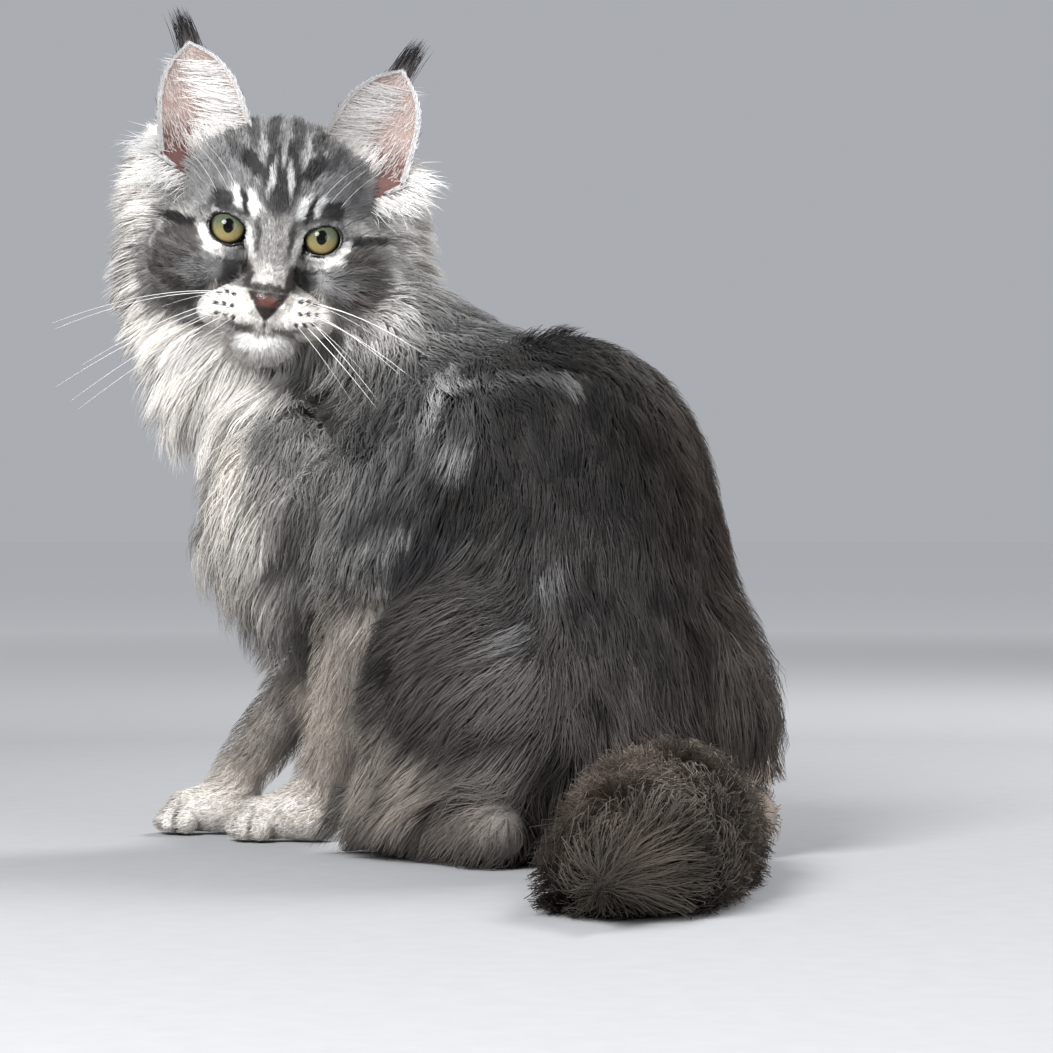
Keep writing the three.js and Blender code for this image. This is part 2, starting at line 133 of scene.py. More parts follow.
# %% Sorts of coat
# length, depth over the skin, width of a blade, size of a lock
COATS = {
    "back": (42, 16, 0.58, 9),
    "flank": (46, 18, 0.58, 10),
    "haunch": (52, 22, 0.58, 11),
    "shoulder": (34, 18, 0.60, 8),
    "chest": (46, 22, 0.72, 10),
    "bib": (62, 34, 0.68, 14),
    "neck": (42, 30, 0.72, 9),
    "ruff": (56, 30, 0.70, 9),
    "arm": (27, 10, 0.55, 8),
    "foreleg": (16, 6, 0.46, 6),
    "paw": (3.6, 1.6, 0.36, 2.2),
    "hind_foot": (19, 7, 0.52, 6),
    "tail": (92, 42, 0.75, 13),
    "skull": (13, 5, 0.48, 4),
    "brow": (7, 3, 0.40, 3),
    "cheek": (10, 4.5, 0.42, 4),
    "bridge": (3.4, 1.6, 0.32, 2),
    "muzzle": (4.6, 2.2, 0.33, 2.2),
    "chin": (5, 2.8, 0.36, 2.6),
    "jaw": (16, 6, 0.50, 5),
}
print(len(COATS), "sorts of coat, hair from", min(c[0] for c in COATS.values()), "to",
      max(c[0] for c in COATS.values()), "mm")

# %% Lay down a mass
masses = []


def turned(degrees):
    c, s = math.cos(math.radians(degrees)), math.sin(math.radians(degrees))
    return np.array([[c, s, 0], [-s, c, 0], [0, 0, 1]])


def mass(coat, centre, radii, blend, comb, ridge=(0, 1, 0), axes=np.eye(3)):
    depth = COATS[coat][1]
    masses.append(dict(
        coat=coat, centre=np.array(centre, float) + SHIFT, radii=np.array(radii, float) - depth,
        blend=blend, comb=np.array(comb, float), ridge=np.array(ridge, float), axes=axes))


def limb(coat, start, end, radii, blend, comb=None, ridge=(0, 0, 0)):
    depth = COATS[coat][1]
    start, end = np.array(start, float) + SHIFT, np.array(end, float) + SHIFT
    along = (end - start) / np.linalg.norm(end - start)
    masses.append(dict(
        coat=coat, start=start, end=end, radii=np.array(radii, float) - depth, blend=blend,
        comb=along if comb is None else np.array(comb, float), ridge=np.array(ridge, float)))


def head_mass(coat, place, radii, blend):
    centre = on_head(*place) - SHIFT
    mass(coat, centre, radii, blend, (0, 0, 0), (0, 0, 0), HEAD)


def head_limb(coat, start, end, radii, blend):
    limb(coat, on_head(*start) - SHIFT, on_head(*end) - SHIFT, radii, blend, (0, 0, 0))


print("turned by 90 degrees, x points to", turned(90)[0].round(2))

# %% [markdown]
# The trunk of a sitting cat is a pear: a wide rump, a round back, and a chest that
# stands up on the forelegs. The numbers are the outer size with the coat on, as in the
# frame, and the depth of the coat is taken off each one to find the skin. The last
# two triples say which way the hair is combed, and how much it parts along the ridge.

# %% Trunk, neck and bib
mass("haunch", (0, 4, 80), (82, 74, 84), 20, (0, 0.4, -1))
mass("flank", (-20, -25, 140), (94, 90, 92), 30, (0.1, -0.30, -1), (0, 1.5, 0))
mass("back", (-24, -40, 196), (86, 84, 88), 30, (0.1, -0.2, -1), (0, 1.8, 0))
mass("shoulder", (-12, -98, 200), (78, 78, 82), 30, (0.2, -0.1, -1), (0, 1.2, 0))
mass("chest", (10, -142, 176), (68, 72, 78), 25, (0.2, -0.2, -1), axes=turned(35))
mass("bib", (54, -176, 184), (50, 60, 74), 25, (0.15, -0.15, -1), axes=turned(50))
limb("bib", (36, -213, 256), (59, -180, 198), (46, 56), 25, (0.15, -0.15, -1))
limb("neck", (-18, -130, 225), (18, -232, 318), (64, 54), 25, (-0.2, 0.35, -0.8))
limb("neck", (-16, -84, 226), (0, -176, 292), (70, 60), 25, (-0.15, 0.6, -0.7))

print(len(masses), "masses in the trunk, the neck and the bib")

# %% [markdown]
# The hind legs are folded, so a thigh is one broad mass with the long foot flat under
# it, and the hair of the thigh hangs over the foot as a fringe. The forelegs stand, and
# each is a row of limbs: round sticks that taper from one end to the other.

# %% Legs
mass("haunch", (58, -12, 84), (42, 72, 76), 22, (0.1, -1.2, -1), (0, -0.8, 0))
mass("haunch", (-64, 17, 80), (43, 72, 76), 22, (-0.1, -0.2, -1), (0, 0.4, 0))
mass("haunch", (62, -50, 78), (30, 36, 48), 20, (0.1, -0.4, -1), (0, -0.4, 0))
mass("haunch", (-62, -36, 78), (30, 36, 46), 20, (-0.1, -0.4, -1), (0, -0.4, 0))
limb("hind_foot", (-72, 56, 22), (-62, -30, 18), (25, 22), 12)
limb("hind_foot", (72, 22, 20), (62, -90, 16), (24, 17), 12, (0.15, -0.6, -0.8))
limb("hind_foot", (-72, 30, 20), (-62, -54, 16), (24, 17), 12, (-0.15, -0.6, -0.8))
limb("shoulder", (48, -128, 185), (46, -116, 122), (40, 32), 22, (0, 0.1, -1))
limb("shoulder", (-12, -180, 190), (-2, -186, 125), (42, 30), 22, (0, 0.1, -1))
limb("foreleg", (46, -116, 124), (38, -168, 36), (30, 19), 14)
limb("foreleg", (0, -186, 124), (42, -242, 36), (29, 18), 14)
limb("paw", (42, -176, 17), (61, -195, 13), (19, 12.5), 7)
limb("paw", (46, -247, 17), (63, -263, 13), (19, 12.5), 7)

print(len(masses), "masses with the legs")

# %% [markdown]
# A maine coon's head is a wedge with a square muzzle and a firm chin. Small masses give
# the skull, the brows, the cheeks, the bridge of the nose and the two pads that carry
# the whiskers. The ruff is wide round the skull, so that its hair frames the face.

# %% Head
head_start = len(masses)
head_mass("skull", (0, -42, 14), (52, 52, 49), 12)
head_mass("brow", (0, -16, 22), (37, 25, 27), 12)
for s in (1, -1):
    head_mass("cheek", (s * 40, -26, -18), (27, 34, 32), 14)
head_limb("bridge", (0, -6, 6), (0, 27, -29), (16, 11.5), 10)
head_mass("muzzle", (0, 12, -42), (29, 22, 17), 8)
for s in (1, -1):
    head_mass("muzzle", (s * 19, 18, -45), (18.5, 15.5, 12), 5)
head_mass("chin", (0, 14, -60), (18, 15, 12), 5)
head_limb("jaw", (0, -24, -43), (0, 6, -57), (30, 16), 10)
head_mass("ruff", (0, -54, -18), (90, 42, 82), 16)
head_mass("ruff", (-6, -44, -72), (62, 38, 46), 16)
for s in (1, -1):
    head_mass("ruff", (s * 50, -58, 26), (34, 32, 42), 16)
head_masses = masses[head_start:]
print(len(head_masses), "masses make the head")

# %% [markdown]
# The tail is a thin core with very long hair. The core follows the middle of the plume,
# a bent path on the floor behind the cat. It could be one curve with a bevel, but a row
# of short limbs joins the same list as the rest, so that the skin runs into it.

# %% Tail
TAIL_ROOT, TAIL_BEND, TAIL_TIP = (np.array(p, float) for p in ((0, 60), (50, 150), (205, 264)))
TAIL_STEPS = 8
TAIL_CORE = (17, 13, 7)          # radius at the root, the middle and the tip
TAIL_HEIGHT = (40, 20)           # of the core's middle over the floor, at the root and further on


def tail_path(t):
    flat = (1 - t) ** 2 * TAIL_ROOT + 2 * t * (1 - t) * TAIL_BEND + t * t * TAIL_TIP
    rise = TAIL_HEIGHT[1] + (TAIL_HEIGHT[0] - TAIL_HEIGHT[1]) * max(0, 1 - t / 0.3) ** 2
    return np.array([flat[0], flat[1], rise])


TAIL_CORE_END = 0.86             # the hair reaches on past the last bone
for i in range(TAIL_STEPS):
    a, b = (TAIL_CORE_END * j / TAIL_STEPS for j in (i, i + 1))
    radii = np.interp((a, b), (0, 0.4, 1), TAIL_CORE)
    limb("tail", tail_path(a), tail_path(b), radii + COATS["tail"][1], 16 if i == 0 else 4)

print(len(masses), "masses,", len(head_masses), "of them in the head")

# %% [markdown]
# How far is a place from the skin? Each mass answers for itself: for an ellipsoid the
# answer is a good estimate, and for a limb it is exact. A smooth minimum of all the
# answers runs the masses together, as a thumb does with clay. The same function will
# later make the mesh, lift the hairs off it, and say which way is outward.

# %% Distance to the skin
def ball_distance(p, centre, radii, axes):
    q = (p - centre) @ axes.T / radii
    near = np.sqrt((q * q).sum(-1))
    slope = np.sqrt(((q / radii) ** 2).sum(-1))
    return near * (near - 1) / np.maximum(slope, 1e-6)


def line_distance(p, start, end, radii):
    along = end - start
    t = np.clip(((p - start) @ along) / (along @ along), 0, 1)
    away = p - start - t[..., None] * along
    return np.sqrt((away * away).sum(-1)) - (radii[0] + (radii[1] - radii[0]) * t)


def mass_distance(m, p):
    if "centre" in m:
        return ball_distance(p, m["centre"], m["radii"], m["axes"])
    return line_distance(p, m["start"], m["end"], m["radii"])


def smooth_min(a, b, k):
    h = np.maximum(k - np.abs(a - b), 0) / k
    return np.minimum(a, b) - h * h * k / 4


def smooth_max(a, b, k):
    return -smooth_min(-a, -b, k)


def body_distance(p, parts=None):
    d = None
    for m in parts or masses:
        e = mass_distance(m, p)
        d = e if d is None else smooth_min(d, e, m["blend"])
    return d


middle_of_trunk = masses[1]["centre"]
under_skin = -body_distance(middle_of_trunk[None])[0]
print("the middle of the flank is", round(float(under_skin)), "mm under the skin")

# %% [markdown]
# The face needs finer shapes. A cat's lids follow the ball of the eye, so each pair is a
# slightly larger ball with an almond cut in it, slanted down to the nose. The leather
# of the nose stands a little proud, and the nostrils, the groove under the nose and
# the lip line are cut as thin lines. The toes open like a fan round the front of each
# foot and have a clear gap between them.

# %% Lids
LID = 1.7                        # thickness of a lid
EYE_WIDE, EYE_HIGH = 10.4, 8.5    # half sizes of the opening between the lids
LID_SLANT = 11                   # degrees that the inner corner lies lower


def eye_frame(s, q):
    """Outward, ahead and up from the eyeball's centre, turned with the slant of the lids."""
    cosine, sine = math.cos(math.radians(LID_SLANT)), math.sin(math.radians(LID_SLANT))
    out, ahead, up = s * q[..., 0] - EYE_ACROSS, q[..., 1] + EYE_SETBACK, q[..., 2]
    return out * cosine + up * sine, ahead, up * cosine - out * sine


def from_eye(s, q):
    """How far a place is from the middle of an eyeball."""
    return np.linalg.norm(q - (s * EYE_ACROSS, -EYE_SETBACK, 0), axis=1)


def eye_opening(s, q):
    """Below zero between the lids."""
    out, ahead, up = eye_frame(s, q)
    high = np.where(up > 0, EYE_HIGH * (0.80 + 0.18 * out / EYE_WIDE), EYE_HIGH)
    almond = (np.sqrt((out / EYE_WIDE) ** 2 + (up / high) ** 2) - 1) * EYE_HIGH
    inner, outer = np.array([-7.0, -2.0]), np.array([-12.0, -6.0])
    corner = line_distance(np.stack([out, up], -1), inner, outer, (2.2, 0.3))
    return np.maximum(smooth_min(almond, corner, 1.5), 3.0 - ahead)


print("an eye opens", 2 * EYE_WIDE, "by about", 2 * EYE_HIGH, "mm")

# %% Nose, nostrils and lips
MOUTH = ((0, 30, -52), (7, 27, -54.5), (15, 22, -54), (23, 12, -51.5), (28, 2, -50))


def nose_distance(q):
    """The leather: a triangle with round corners, standing a little proud."""
    across, up = np.abs(q[..., 0]), q[..., 2] + 38.5
    wide = 11.5 * np.clip((up + 9.5) / 15.5, 0.05, 1) ** 0.75
    flat = np.maximum((across - wide) * 0.8, np.maximum(up - 6.0, -9.5 - up))
    return np.maximum(flat, 24.0 - q[..., 1])


def face_distance(p, d):
    q = in_head(p)
    for s in (1, -1):
        eye = np.array([s * EYE_ACROSS, -EYE_SETBACK, 0.0])
        away = np.sqrt(((q - eye) ** 2).sum(-1))
        d = smooth_min(d, away - EYE_RADIUS - LID, 5.0)
        d = smooth_max(d, -eye_opening(s, q), 1.2)
    pad = ball_distance(q, np.array([0, 29.0, -37.5]), np.array([11.0, 8.0, 7.5]), np.eye(3))
    d = smooth_min(d, pad, 3.0)
    for s in (1, -1):
        inner, outer = np.array([s * 4.2, 38.5, -40.0]), np.array([s * 8.2, 33.5, -38.0])
        d = smooth_max(d, -line_distance(q, inner, outer, (1.6, 1.2)), 1.4)
        for a, b in zip(MOUTH, MOUTH[1:]):
            a, b = np.array(a, float) * (s, 1, 1), np.array(b, float) * (s, 1, 1)
            d = smooth_max(d, -line_distance(q, a, b, (1.3, 1.3)), 2.5)
    groove = line_distance(q, np.array([0, 37.0, -43.0]), np.array([0, 31.5, -52.0]), (1.0, 1.0))
    return smooth_max(d, -groove, 2.0)


print("the lip line runs", MOUTH[-1][0], "mm out to each side")

# %% Toes
TOES, TOE_RADII = [], (7.2, 6.5)
TOE_HEIGHTS, TOE_SPREADS = (16.5, 7.8), (-66, -22, 22, 66)
# heel, front of the foot, how far its fan of toes is turned outward, and how wide it opens
FEET = (((42, -176), (61, -195), 28, 1.0), ((46, -247), (63, -263), 22, 1.0),
        ((72, 22), (62, -92), 0, 0.72), ((-72, 30), (-62, -56), 0, 0.72))
for heel, front, outward, opening in FEET:
    heading = math.atan2(front[1] - heel[1], front[0] - heel[0]) + math.radians(outward)
    for spread in TOE_SPREADS:
        way = heading + math.radians(spread * opening)
        way = np.array([math.cos(way), math.sin(way)])
        ends = [np.array([*(np.array(front) + reach * way), height]) + SHIFT
                for reach, height in zip((4, 13 * opening), TOE_HEIGHTS)]
        TOES.append(tuple(ends))


def skin_distance(p):
    d = face_distance(p, body_distance(p))
    toes = None
    for start, end in TOES:
        e = line_distance(p, start, end, TOE_RADII)
        toes = e if toes is None else smooth_min(toes, e, 0.8)
    return smooth_min(d, toes, 2.0)


print(len(TOES), "toes")

# %% [markdown]
# To turn the distance into a mesh, it is sampled on a lattice of points. Metaballs or a
# Remesh modifier could do this too, but neither knows the fine cuts of the face. Most
# of a fine lattice would be wasted on air, so a coarse one is filled first, and the
# fine one is worked out only where the coarse one says that the skin is near.

# %% Lattices of distances
COARSE, FINE = 9.0, 3.0


def lattice_axes(low, high, cell):
    return [np.arange(low[i], high[i] + cell, cell) for i in range(3)]


def lattice_points(axes):
    return np.stack(np.meshgrid(*axes, indexing="ij"), -1)


def look_up(grid, low, cell, p):
    """Trilinear reading of a lattice at any places."""
    u = (p - low) / cell
    i = np.clip(np.floor(u).astype(int), 0, np.array(grid.shape[:3]) - 2)
    f = np.clip(u - i, 0, 1)
    total = 0
    for corner in np.ndindex(2, 2, 2):
        c = np.array(corner)
        w = np.prod(np.where(c == 1, f, 1 - f), -1)
        value = grid[tuple((i + c).reshape(-1, 3).T)].reshape(*i.shape[:-1], *grid.shape[3:])
        total = total + (w[..., None] * value if grid.ndim == 4 else w * value)
    return total


low = np.array(cad_box[0]) / MM - 24
high = np.array(cad_box[1]) / MM + 24
coarse_axes = lattice_axes(low, high, COARSE)
coarse = body_distance(lattice_points(coarse_axes))
fine_axes = lattice_axes(low, high, FINE)
fine = coarse
for axis in range(3):
    u = np.clip((fine_axes[axis] - low[axis]) / COARSE, 0, fine.shape[axis] - 1.001)
    i = np.floor(u).astype(int)
    f = (u - i).reshape([-1 if a == axis else 1 for a in range(3)])
    fine = np.take(fine, i, axis) * (1 - f) + np.take(fine, i + 1, axis) * f
near = np.abs(fine) < 2.2 * COARSE
where = np.argwhere(near)
fine[near] = skin_distance(where * FINE + low)
fine = np.maximum(fine, 0.6 - fine_axes[2][None, None, :])
print("lattice", fine.shape, "near the skin", len(where))

# %% [markdown]
# The lattice is wrapped in quads at the level where the distance is nothing. The floor
# has already cut it flat under the feet, so that the cat rests on its paws and rump.

# %% Wrap the lattice in quads
grid = openvdb.FloatGrid(background=50.0)
grid.copyFromArray(fine.astype(np.float32))
corners, quads = grid.convertToQuads(0.0)
corners = corners * FINE + low

skin_mesh = bpy.data.meshes.new("skin")
skin_mesh.from_pydata(corners.tolist(), [], quads.tolist())
print("first wrap", len(corners), "corners", len(quads), "quads")

# %% [markdown]
# Squares of three millimetres are fine for a flank and far too coarse for a lip. The
# face and the paws are cut in half once, and the eyes and the nose once more. Then
# each of those corners is slid along the slope of the distance until it lies on the
# true skin, which brings the lids and the toes out crisply.


# %% Cut the face and the paws finer
def in_reach(p, steps):
    q = in_head(p)
    face = (q[:, 1] > -22) & (np.abs(q[:, 0]) < 46) & (np.abs(q[:, 2] + 20) < 52)
    front, side = p[:, 1] - SHIFT[1], np.abs(p[:, 0] - SHIFT[0])
    paws = (p[:, 2] < 34) & (front < -150) | (p[:, 2] < 30) & (front < -60) & (side > 40)
    if steps == 0:
        return face | paws
    eyes = np.min([from_eye(s, q) for s in (1, -1)], 0) < 17
    nose = np.linalg.norm((q - (0, 30, -42)) / (1.3, 1, 1), axis=1) < 20
    return eyes | nose


bm = bmesh.new()
bm.from_mesh(skin_mesh)
for step in range(2):
    points = np.array([v.co for v in bm.verts])
    chosen = in_reach(points, step)
    bm.verts.index_update()
    edges = [e for e in bm.edges if chosen[e.verts[0].index] and chosen[e.verts[1].index]]
    bmesh.ops.subdivide_edges(bm, edges=edges, cuts=1, use_grid_fill=True)
bm.to_mesh(skin_mesh)
bm.free()


def slope_of(distance, p, step=0.25):
    rise = [distance(p + step * e) - distance(p - step * e) for e in np.eye(3)]
    return np.stack(rise, -1) / (2 * step)


def read(items, name, width, kind=np.float64):
    """One property of many mesh items as an array, one row for each."""
    values = np.empty(len(items) * width, kind)
    items.foreach_get(name, values)
    return values.reshape(-1, width)


points = read(skin_mesh.vertices, "co", 3)
moved = in_reach(points, 0)
for _ in range(3):
    p = points[moved]
    d, g = skin_distance(p), slope_of(skin_distance, p)
    step = (d / np.maximum((g * g).sum(-1), 0.3))[:, None] * g
    length = np.linalg.norm(step, axis=1, keepdims=True)
    points[moved] = p - step * np.minimum(1, 1.5 / np.maximum(length, 1e-6))
points[:, 2] = np.maximum(points[:, 2], 0.6)
skin_mesh.vertices.foreach_set("co", points.ravel())
print("skin", len(skin_mesh.vertices), "corners", len(skin_mesh.polygons), "faces")

# %% [markdown]
# An ear is a cupped sheet of skin and gristle, drawn in at the base and bent forward at
# both edges. The lattice is too coarse for a sheet of one millimetre, so the ears are
# lofted instead: rows of points from the base to the tip, in two layers that meet at
# the rim. Their roots are sunk in the skull, where the hair hides the join.

# %% Ears: the cupped sheet
EAR_BASE, EAR_TIP = np.array([42.0, -38, 40]), np.array([59.5, -36, 98])
EAR_SPREAD = np.array([0.93, -0.05, -0.37])
EAR_ROOT, EAR_HALF_WIDTH, EAR_CUP = 14, 27.5, 17
EAR_RINGS, EAR_ACROSS = 34, 18


def ear_axes():
    axis = (EAR_TIP - EAR_BASE) / np.linalg.norm(EAR_TIP - EAR_BASE)
    across = EAR_SPREAD - axis * (EAR_SPREAD @ axis)
    across /= np.linalg.norm(across)
    return axis, across, np.cross(axis, across)


def ear_point(t, u, layer):
    """t runs from the base (0) to the tip (1) and u from the inner rim (-1) to the outer (1)."""
    axis, across, facing = ear_axes()
    height = np.linalg.norm(EAR_TIP - EAR_BASE)
    up = np.maximum(t, 0)
    tuck = np.where(u > 0, 0.3 + 0.7 * np.clip((t + 0.24) / 0.30, 0, 1), 1.0)
    half = EAR_HALF_WIDTH * (1 - 0.28 * up - 0.62 * up ** 5) * tuck
    cup = EAR_CUP * np.maximum(1 - up, 0) ** 0.8
    wall = layer * (0.5 + 0.9 * (1 - up) * (1 - u * u))
    fold = 2.2 * np.exp(-((u - 0.55) / 0.16) ** 2) * np.maximum(1 - 2.2 * up, 0)
    depth = wall - cup * (1 - u * u) + fold
    ways = ((t * height, axis), (u * half, across), (depth, facing))
    return EAR_BASE + sum(np.multiply.outer(amount, way) for amount, way in ways)


print("an ear is at most", 2 * EAR_HALF_WIDTH, "mm wide and", EAR_CUP, "mm deep")


# %% Ears: rows of points and their faces
def ear_mesh(s):
    ts = np.linspace(-EAR_ROOT / np.linalg.norm(EAR_TIP - EAR_BASE), 1, EAR_RINGS)
    us = np.sin(np.linspace(-math.pi / 2, math.pi / 2, EAR_ACROSS))
    t, u = np.meshgrid(ts, us, indexing="ij")
    sheets = [ear_point(t.ravel(), u.ravel(), layer) for layer in (1, -1)]
    p = np.concatenate(sheets) * (s, 1, 1)
    n = EAR_RINGS * EAR_ACROSS
    faces = []
    for i in range(EAR_RINGS - 1):
        for j in range(EAR_ACROSS - 1):
            a = i * EAR_ACROSS + j
            quad = [a, a + 1, a + EAR_ACROSS + 1, a + EAR_ACROSS]
            faces.append(quad[::s])
            faces.append([k + n for k in quad[::-s]])
        for j, turn in ((0, 1), (EAR_ACROSS - 1, -1)):
            a = i * EAR_ACROSS + j
            faces.append([a, a + EAR_ACROSS, a + EAR_ACROSS + n, a + n][::turn * s])
    for i, turn in ((0, -1), (EAR_RINGS - 1, 1)):
        for j in range(EAR_ACROSS - 1):
            a = i * EAR_ACROSS + j
            faces.append([a, a + 1, a + 1 + n, a + n][::turn * s])
    return p @ HEAD + EYES, faces


print("an ear has", len(ear_mesh(1)[1]), "faces")


# %% Skin with both ears
def joined(parts):
    points, faces, start = [], [], 0
    for p, f in parts:
        points.append(p)
        faces += [[k + start for k in face] for face in f]
        start += len(p)
    return np.concatenate(points), faces


def placed(name, data):
    """Put a mesh, a lamp or a camera into the scene."""
    piece = bpy.data.objects.new(name, data)
    bpy.context.scene.collection.objects.link(piece)
    return piece


body_faces = [list(f.vertices) for f in skin_mesh.polygons]
n_body = len(points)
all_points, all_faces = joined([(points, body_faces), ear_mesh(1), ear_mesh(-1)])
skin_mesh = bpy.data.meshes.new("skin")
skin_mesh.from_pydata((all_points * MM).tolist(), [], all_faces)
skin_mesh.shade_smooth()
skin = placed("skin", skin_mesh)
print("skin with ears", len(all_points), "corners", len(all_faces), "faces")

# %% [markdown]
# A cat's eye is a ball that fills its socket, and only the part between the lids shows.
# A round ball is right here, since the pattern of the iris comes in its material. Its
# pole looks straight out of the face, so that the rings of faces run round the pupil.


# %% Eyes
def ball(name, centre, radius, aim, rings=48, around=64):
    bm = bmesh.new()
    bmesh.ops.create_uvsphere(bm, u_segments=around, v_segments=rings, radius=radius * MM)
    turn = Vector(aim).to_track_quat("Z", "Y").to_matrix().to_4x4()
    bmesh.ops.transform(bm, matrix=turn, verts=bm.verts)
    bmesh.ops.translate(bm, vec=Vector(centre * MM), verts=bm.verts)
    mesh = bpy.data.meshes.new(name)
    bm.to_mesh(mesh)
    bm.free()
    mesh.shade_smooth()
    return placed(name, mesh)


eyes = []
for name, centre in (("eyeball_left", eye_left), ("eyeball_right", eye_right)):
    eyes.append(ball(name, centre, EYE_RADIUS, HEAD[1]))
print(len(eyes), "eyeballs of", 2 * EYE_RADIUS, "mm")

# %% [markdown]
# The stage is a floor of pale paper, wide enough to fill the view from any side. A large
# soft lamp stands high on the face's side, a weaker one opens the shadows, and one
# from behind draws a light edge on the back. The camera stands two metres away at the
# height of the cat's middle, where the cat shows its left side and its back.

# %% Where the camera looks
PHOTO_TURN = math.radians(140)
TOWARDS = np.array([math.sin(PHOTO_TURN), -math.cos(PHOTO_TURN), 0.0])
RIGHT = np.array([math.cos(PHOTO_TURN), math.sin(PHOTO_TURN), 0.0])
AIM = np.array([36.0, 5.0, 176.5]) + SHIFT
CAMERA_AWAY, PICTURE_WIDE, FOCAL = 2000.0, 1053, 3810.0
print("the camera looks at", AIM.round(1), "from", CAMERA_AWAY, "mm away")


# %% Light
def lamp(name, place, size, watts, colour=(1, 1, 1), at=AIM):
    data = bpy.data.lights.new(name, "AREA")
    data.shape, data.size, data.energy, data.color = "DISK", size, watts, colour
    piece = placed(name, data)
    piece.location = Vector(place * MM)
    piece.rotation_mode = "QUATERNION"
    piece.rotation_quaternion = (Vector((at - place) * MM)).to_track_quat("-Z", "Y")


UP = np.array([0.0, 0.0, 1.0])
lamp("key", AIM + TOWARDS * 1700 - RIGHT * 900 + UP * 1300, 1.0, 105)
lamp("fill", AIM + TOWARDS * 1700 + RIGHT * 1500 + UP * 500, 1.4, 24)
lamp("rim", AIM - TOWARDS * 1300 + RIGHT * 900 + UP * 1500, 0.8, 44)

world = bpy.data.worlds.new("studio")
world.use_nodes = True
world.node_tree.nodes["Background"].inputs[0].default_value = (0.62, 0.64, 0.68, 1)
world.node_tree.nodes["Background"].inputs[1].default_value = 0.65
bpy.context.scene.world = world
print("lamps:", ", ".join(light.name for light in bpy.data.lights))

# %% Camera
camera = bpy.data.cameras.new("camera")
camera.sensor_width = 36
camera.lens = 36 * FOCAL / PICTURE_WIDE
view = placed("camera", camera)
view.location = Vector((AIM + TOWARDS * CAMERA_AWAY) * MM)
view.rotation_mode = "QUATERNION"
view.rotation_quaternion = Vector(-TOWARDS).to_track_quat("-Z", "Y")
bpy.context.scene.camera = view
print("a lens of", round(camera.lens), "mm")


# %% Floor
def round_floor():
    """A very wide level floor, cut in rings of these many metres, to fill the view from every side."""
    around = 96
    points, faces = [SHIFT * MM * (1, 1, 0)], []
    for ring, radius in enumerate((0.5, 1.2, 3.0, 8.0, 40.0)):
        for k in range(around):
            turn = 2 * math.pi * k / around
            points.append(points[0] + radius * np.array([math.cos(turn), math.sin(turn), 0.0]))
            a, b = ring * around + 1 + k, ring * around + 1 + (k + 1) % around
            faces.append([0, a, b] if ring == 0 else [a - around, a, b, b - around])
    mesh = bpy.data.meshes.new("floor")
    mesh.from_pydata(np.array(points).tolist(), [], faces)
    return placed("floor", mesh)


floor = round_floor()
print("floor", len(floor.data.polygons), "faces")

# %% [markdown]
# The colours of the coat are those of a silver tabby. A pattern could be painted as a
# picture, but a rule that gives the tone of any place is sharper, and the skin and
# every hair can ask the same rule, so that the two always agree. Each sort of coat
# starts with tones of its own, paler near the skin, since silver hair is white at
# its root. Most tips have the first tone and some the second.

# %% Tones of the coat
# under the coat, most tips, some tips, share of the second
TONES = {
    "back": ((0.085, 0.081, 0.079), (0.009, 0.0085, 0.0088), (0.030, 0.028, 0.027), 0.32),
    "flank": ((0.14, 0.134, 0.13), (0.012, 0.0115, 0.0115), (0.062, 0.057, 0.055), 0.34),
    "haunch": ((0.17, 0.16, 0.155), (0.014, 0.013, 0.0125), (0.095, 0.086, 0.080), 0.38),
    "shoulder": ((0.30, 0.30, 0.30), (0.045, 0.045, 0.047), (0.20, 0.20, 0.20), 0.46),
    "chest": ((0.55, 0.53, 0.50), (0.13, 0.12, 0.115), (0.46, 0.43, 0.39), 0.55),
    "bib": ((0.80, 0.77, 0.73), (0.62, 0.585, 0.54), (0.94, 0.915, 0.885), 0.74),
    "neck": ((0.36, 0.35, 0.34), (0.080, 0.079, 0.080), (0.27, 0.265, 0.26), 0.50),
    "ruff": ((0.90, 0.88, 0.85), (0.84, 0.81, 0.77), (0.97, 0.96, 0.95), 0.80),
    "arm": ((0.50, 0.45, 0.40), (0.16, 0.14, 0.125), (0.46, 0.41, 0.36), 0.50),
    "foreleg": ((0.58, 0.52, 0.46), (0.30, 0.26, 0.22), (0.58, 0.52, 0.46), 0.60),
    "paw": ((0.70, 0.67, 0.63), (0.62, 0.585, 0.54), (0.86, 0.84, 0.81), 0.62),
    "hind_foot": ((0.19, 0.168, 0.15), (0.13, 0.112, 0.098), (0.32, 0.283, 0.25), 0.50),
    "tail": ((0.24, 0.205, 0.175), (0.070, 0.056, 0.046), (0.19, 0.158, 0.13), 0.48),
    "skull": ((0.34, 0.34, 0.34), (0.085, 0.083, 0.083), (0.33, 0.33, 0.33), 0.50),
    "brow": ((0.34, 0.34, 0.34), (0.13, 0.127, 0.127), (0.38, 0.38, 0.38), 0.50),
    "cheek": ((0.34, 0.33, 0.32), (0.14, 0.132, 0.128), (0.50, 0.49, 0.47), 0.50),
    "bridge": ((0.42, 0.41, 0.39), (0.17, 0.162, 0.155), (0.48, 0.465, 0.45), 0.55),
    "muzzle": ((0.90, 0.87, 0.83), (0.84, 0.80, 0.75), (0.93, 0.91, 0.88), 0.60),
    "chin": ((0.90, 0.88, 0.85), (0.80, 0.77, 0.74), (0.93, 0.92, 0.90), 0.60),
    "jaw": ((0.84, 0.81, 0.77), (0.60, 0.57, 0.54), (0.92, 0.90, 0.87), 0.60),
}
print(len(TONES), "sorts of coat have their tones")

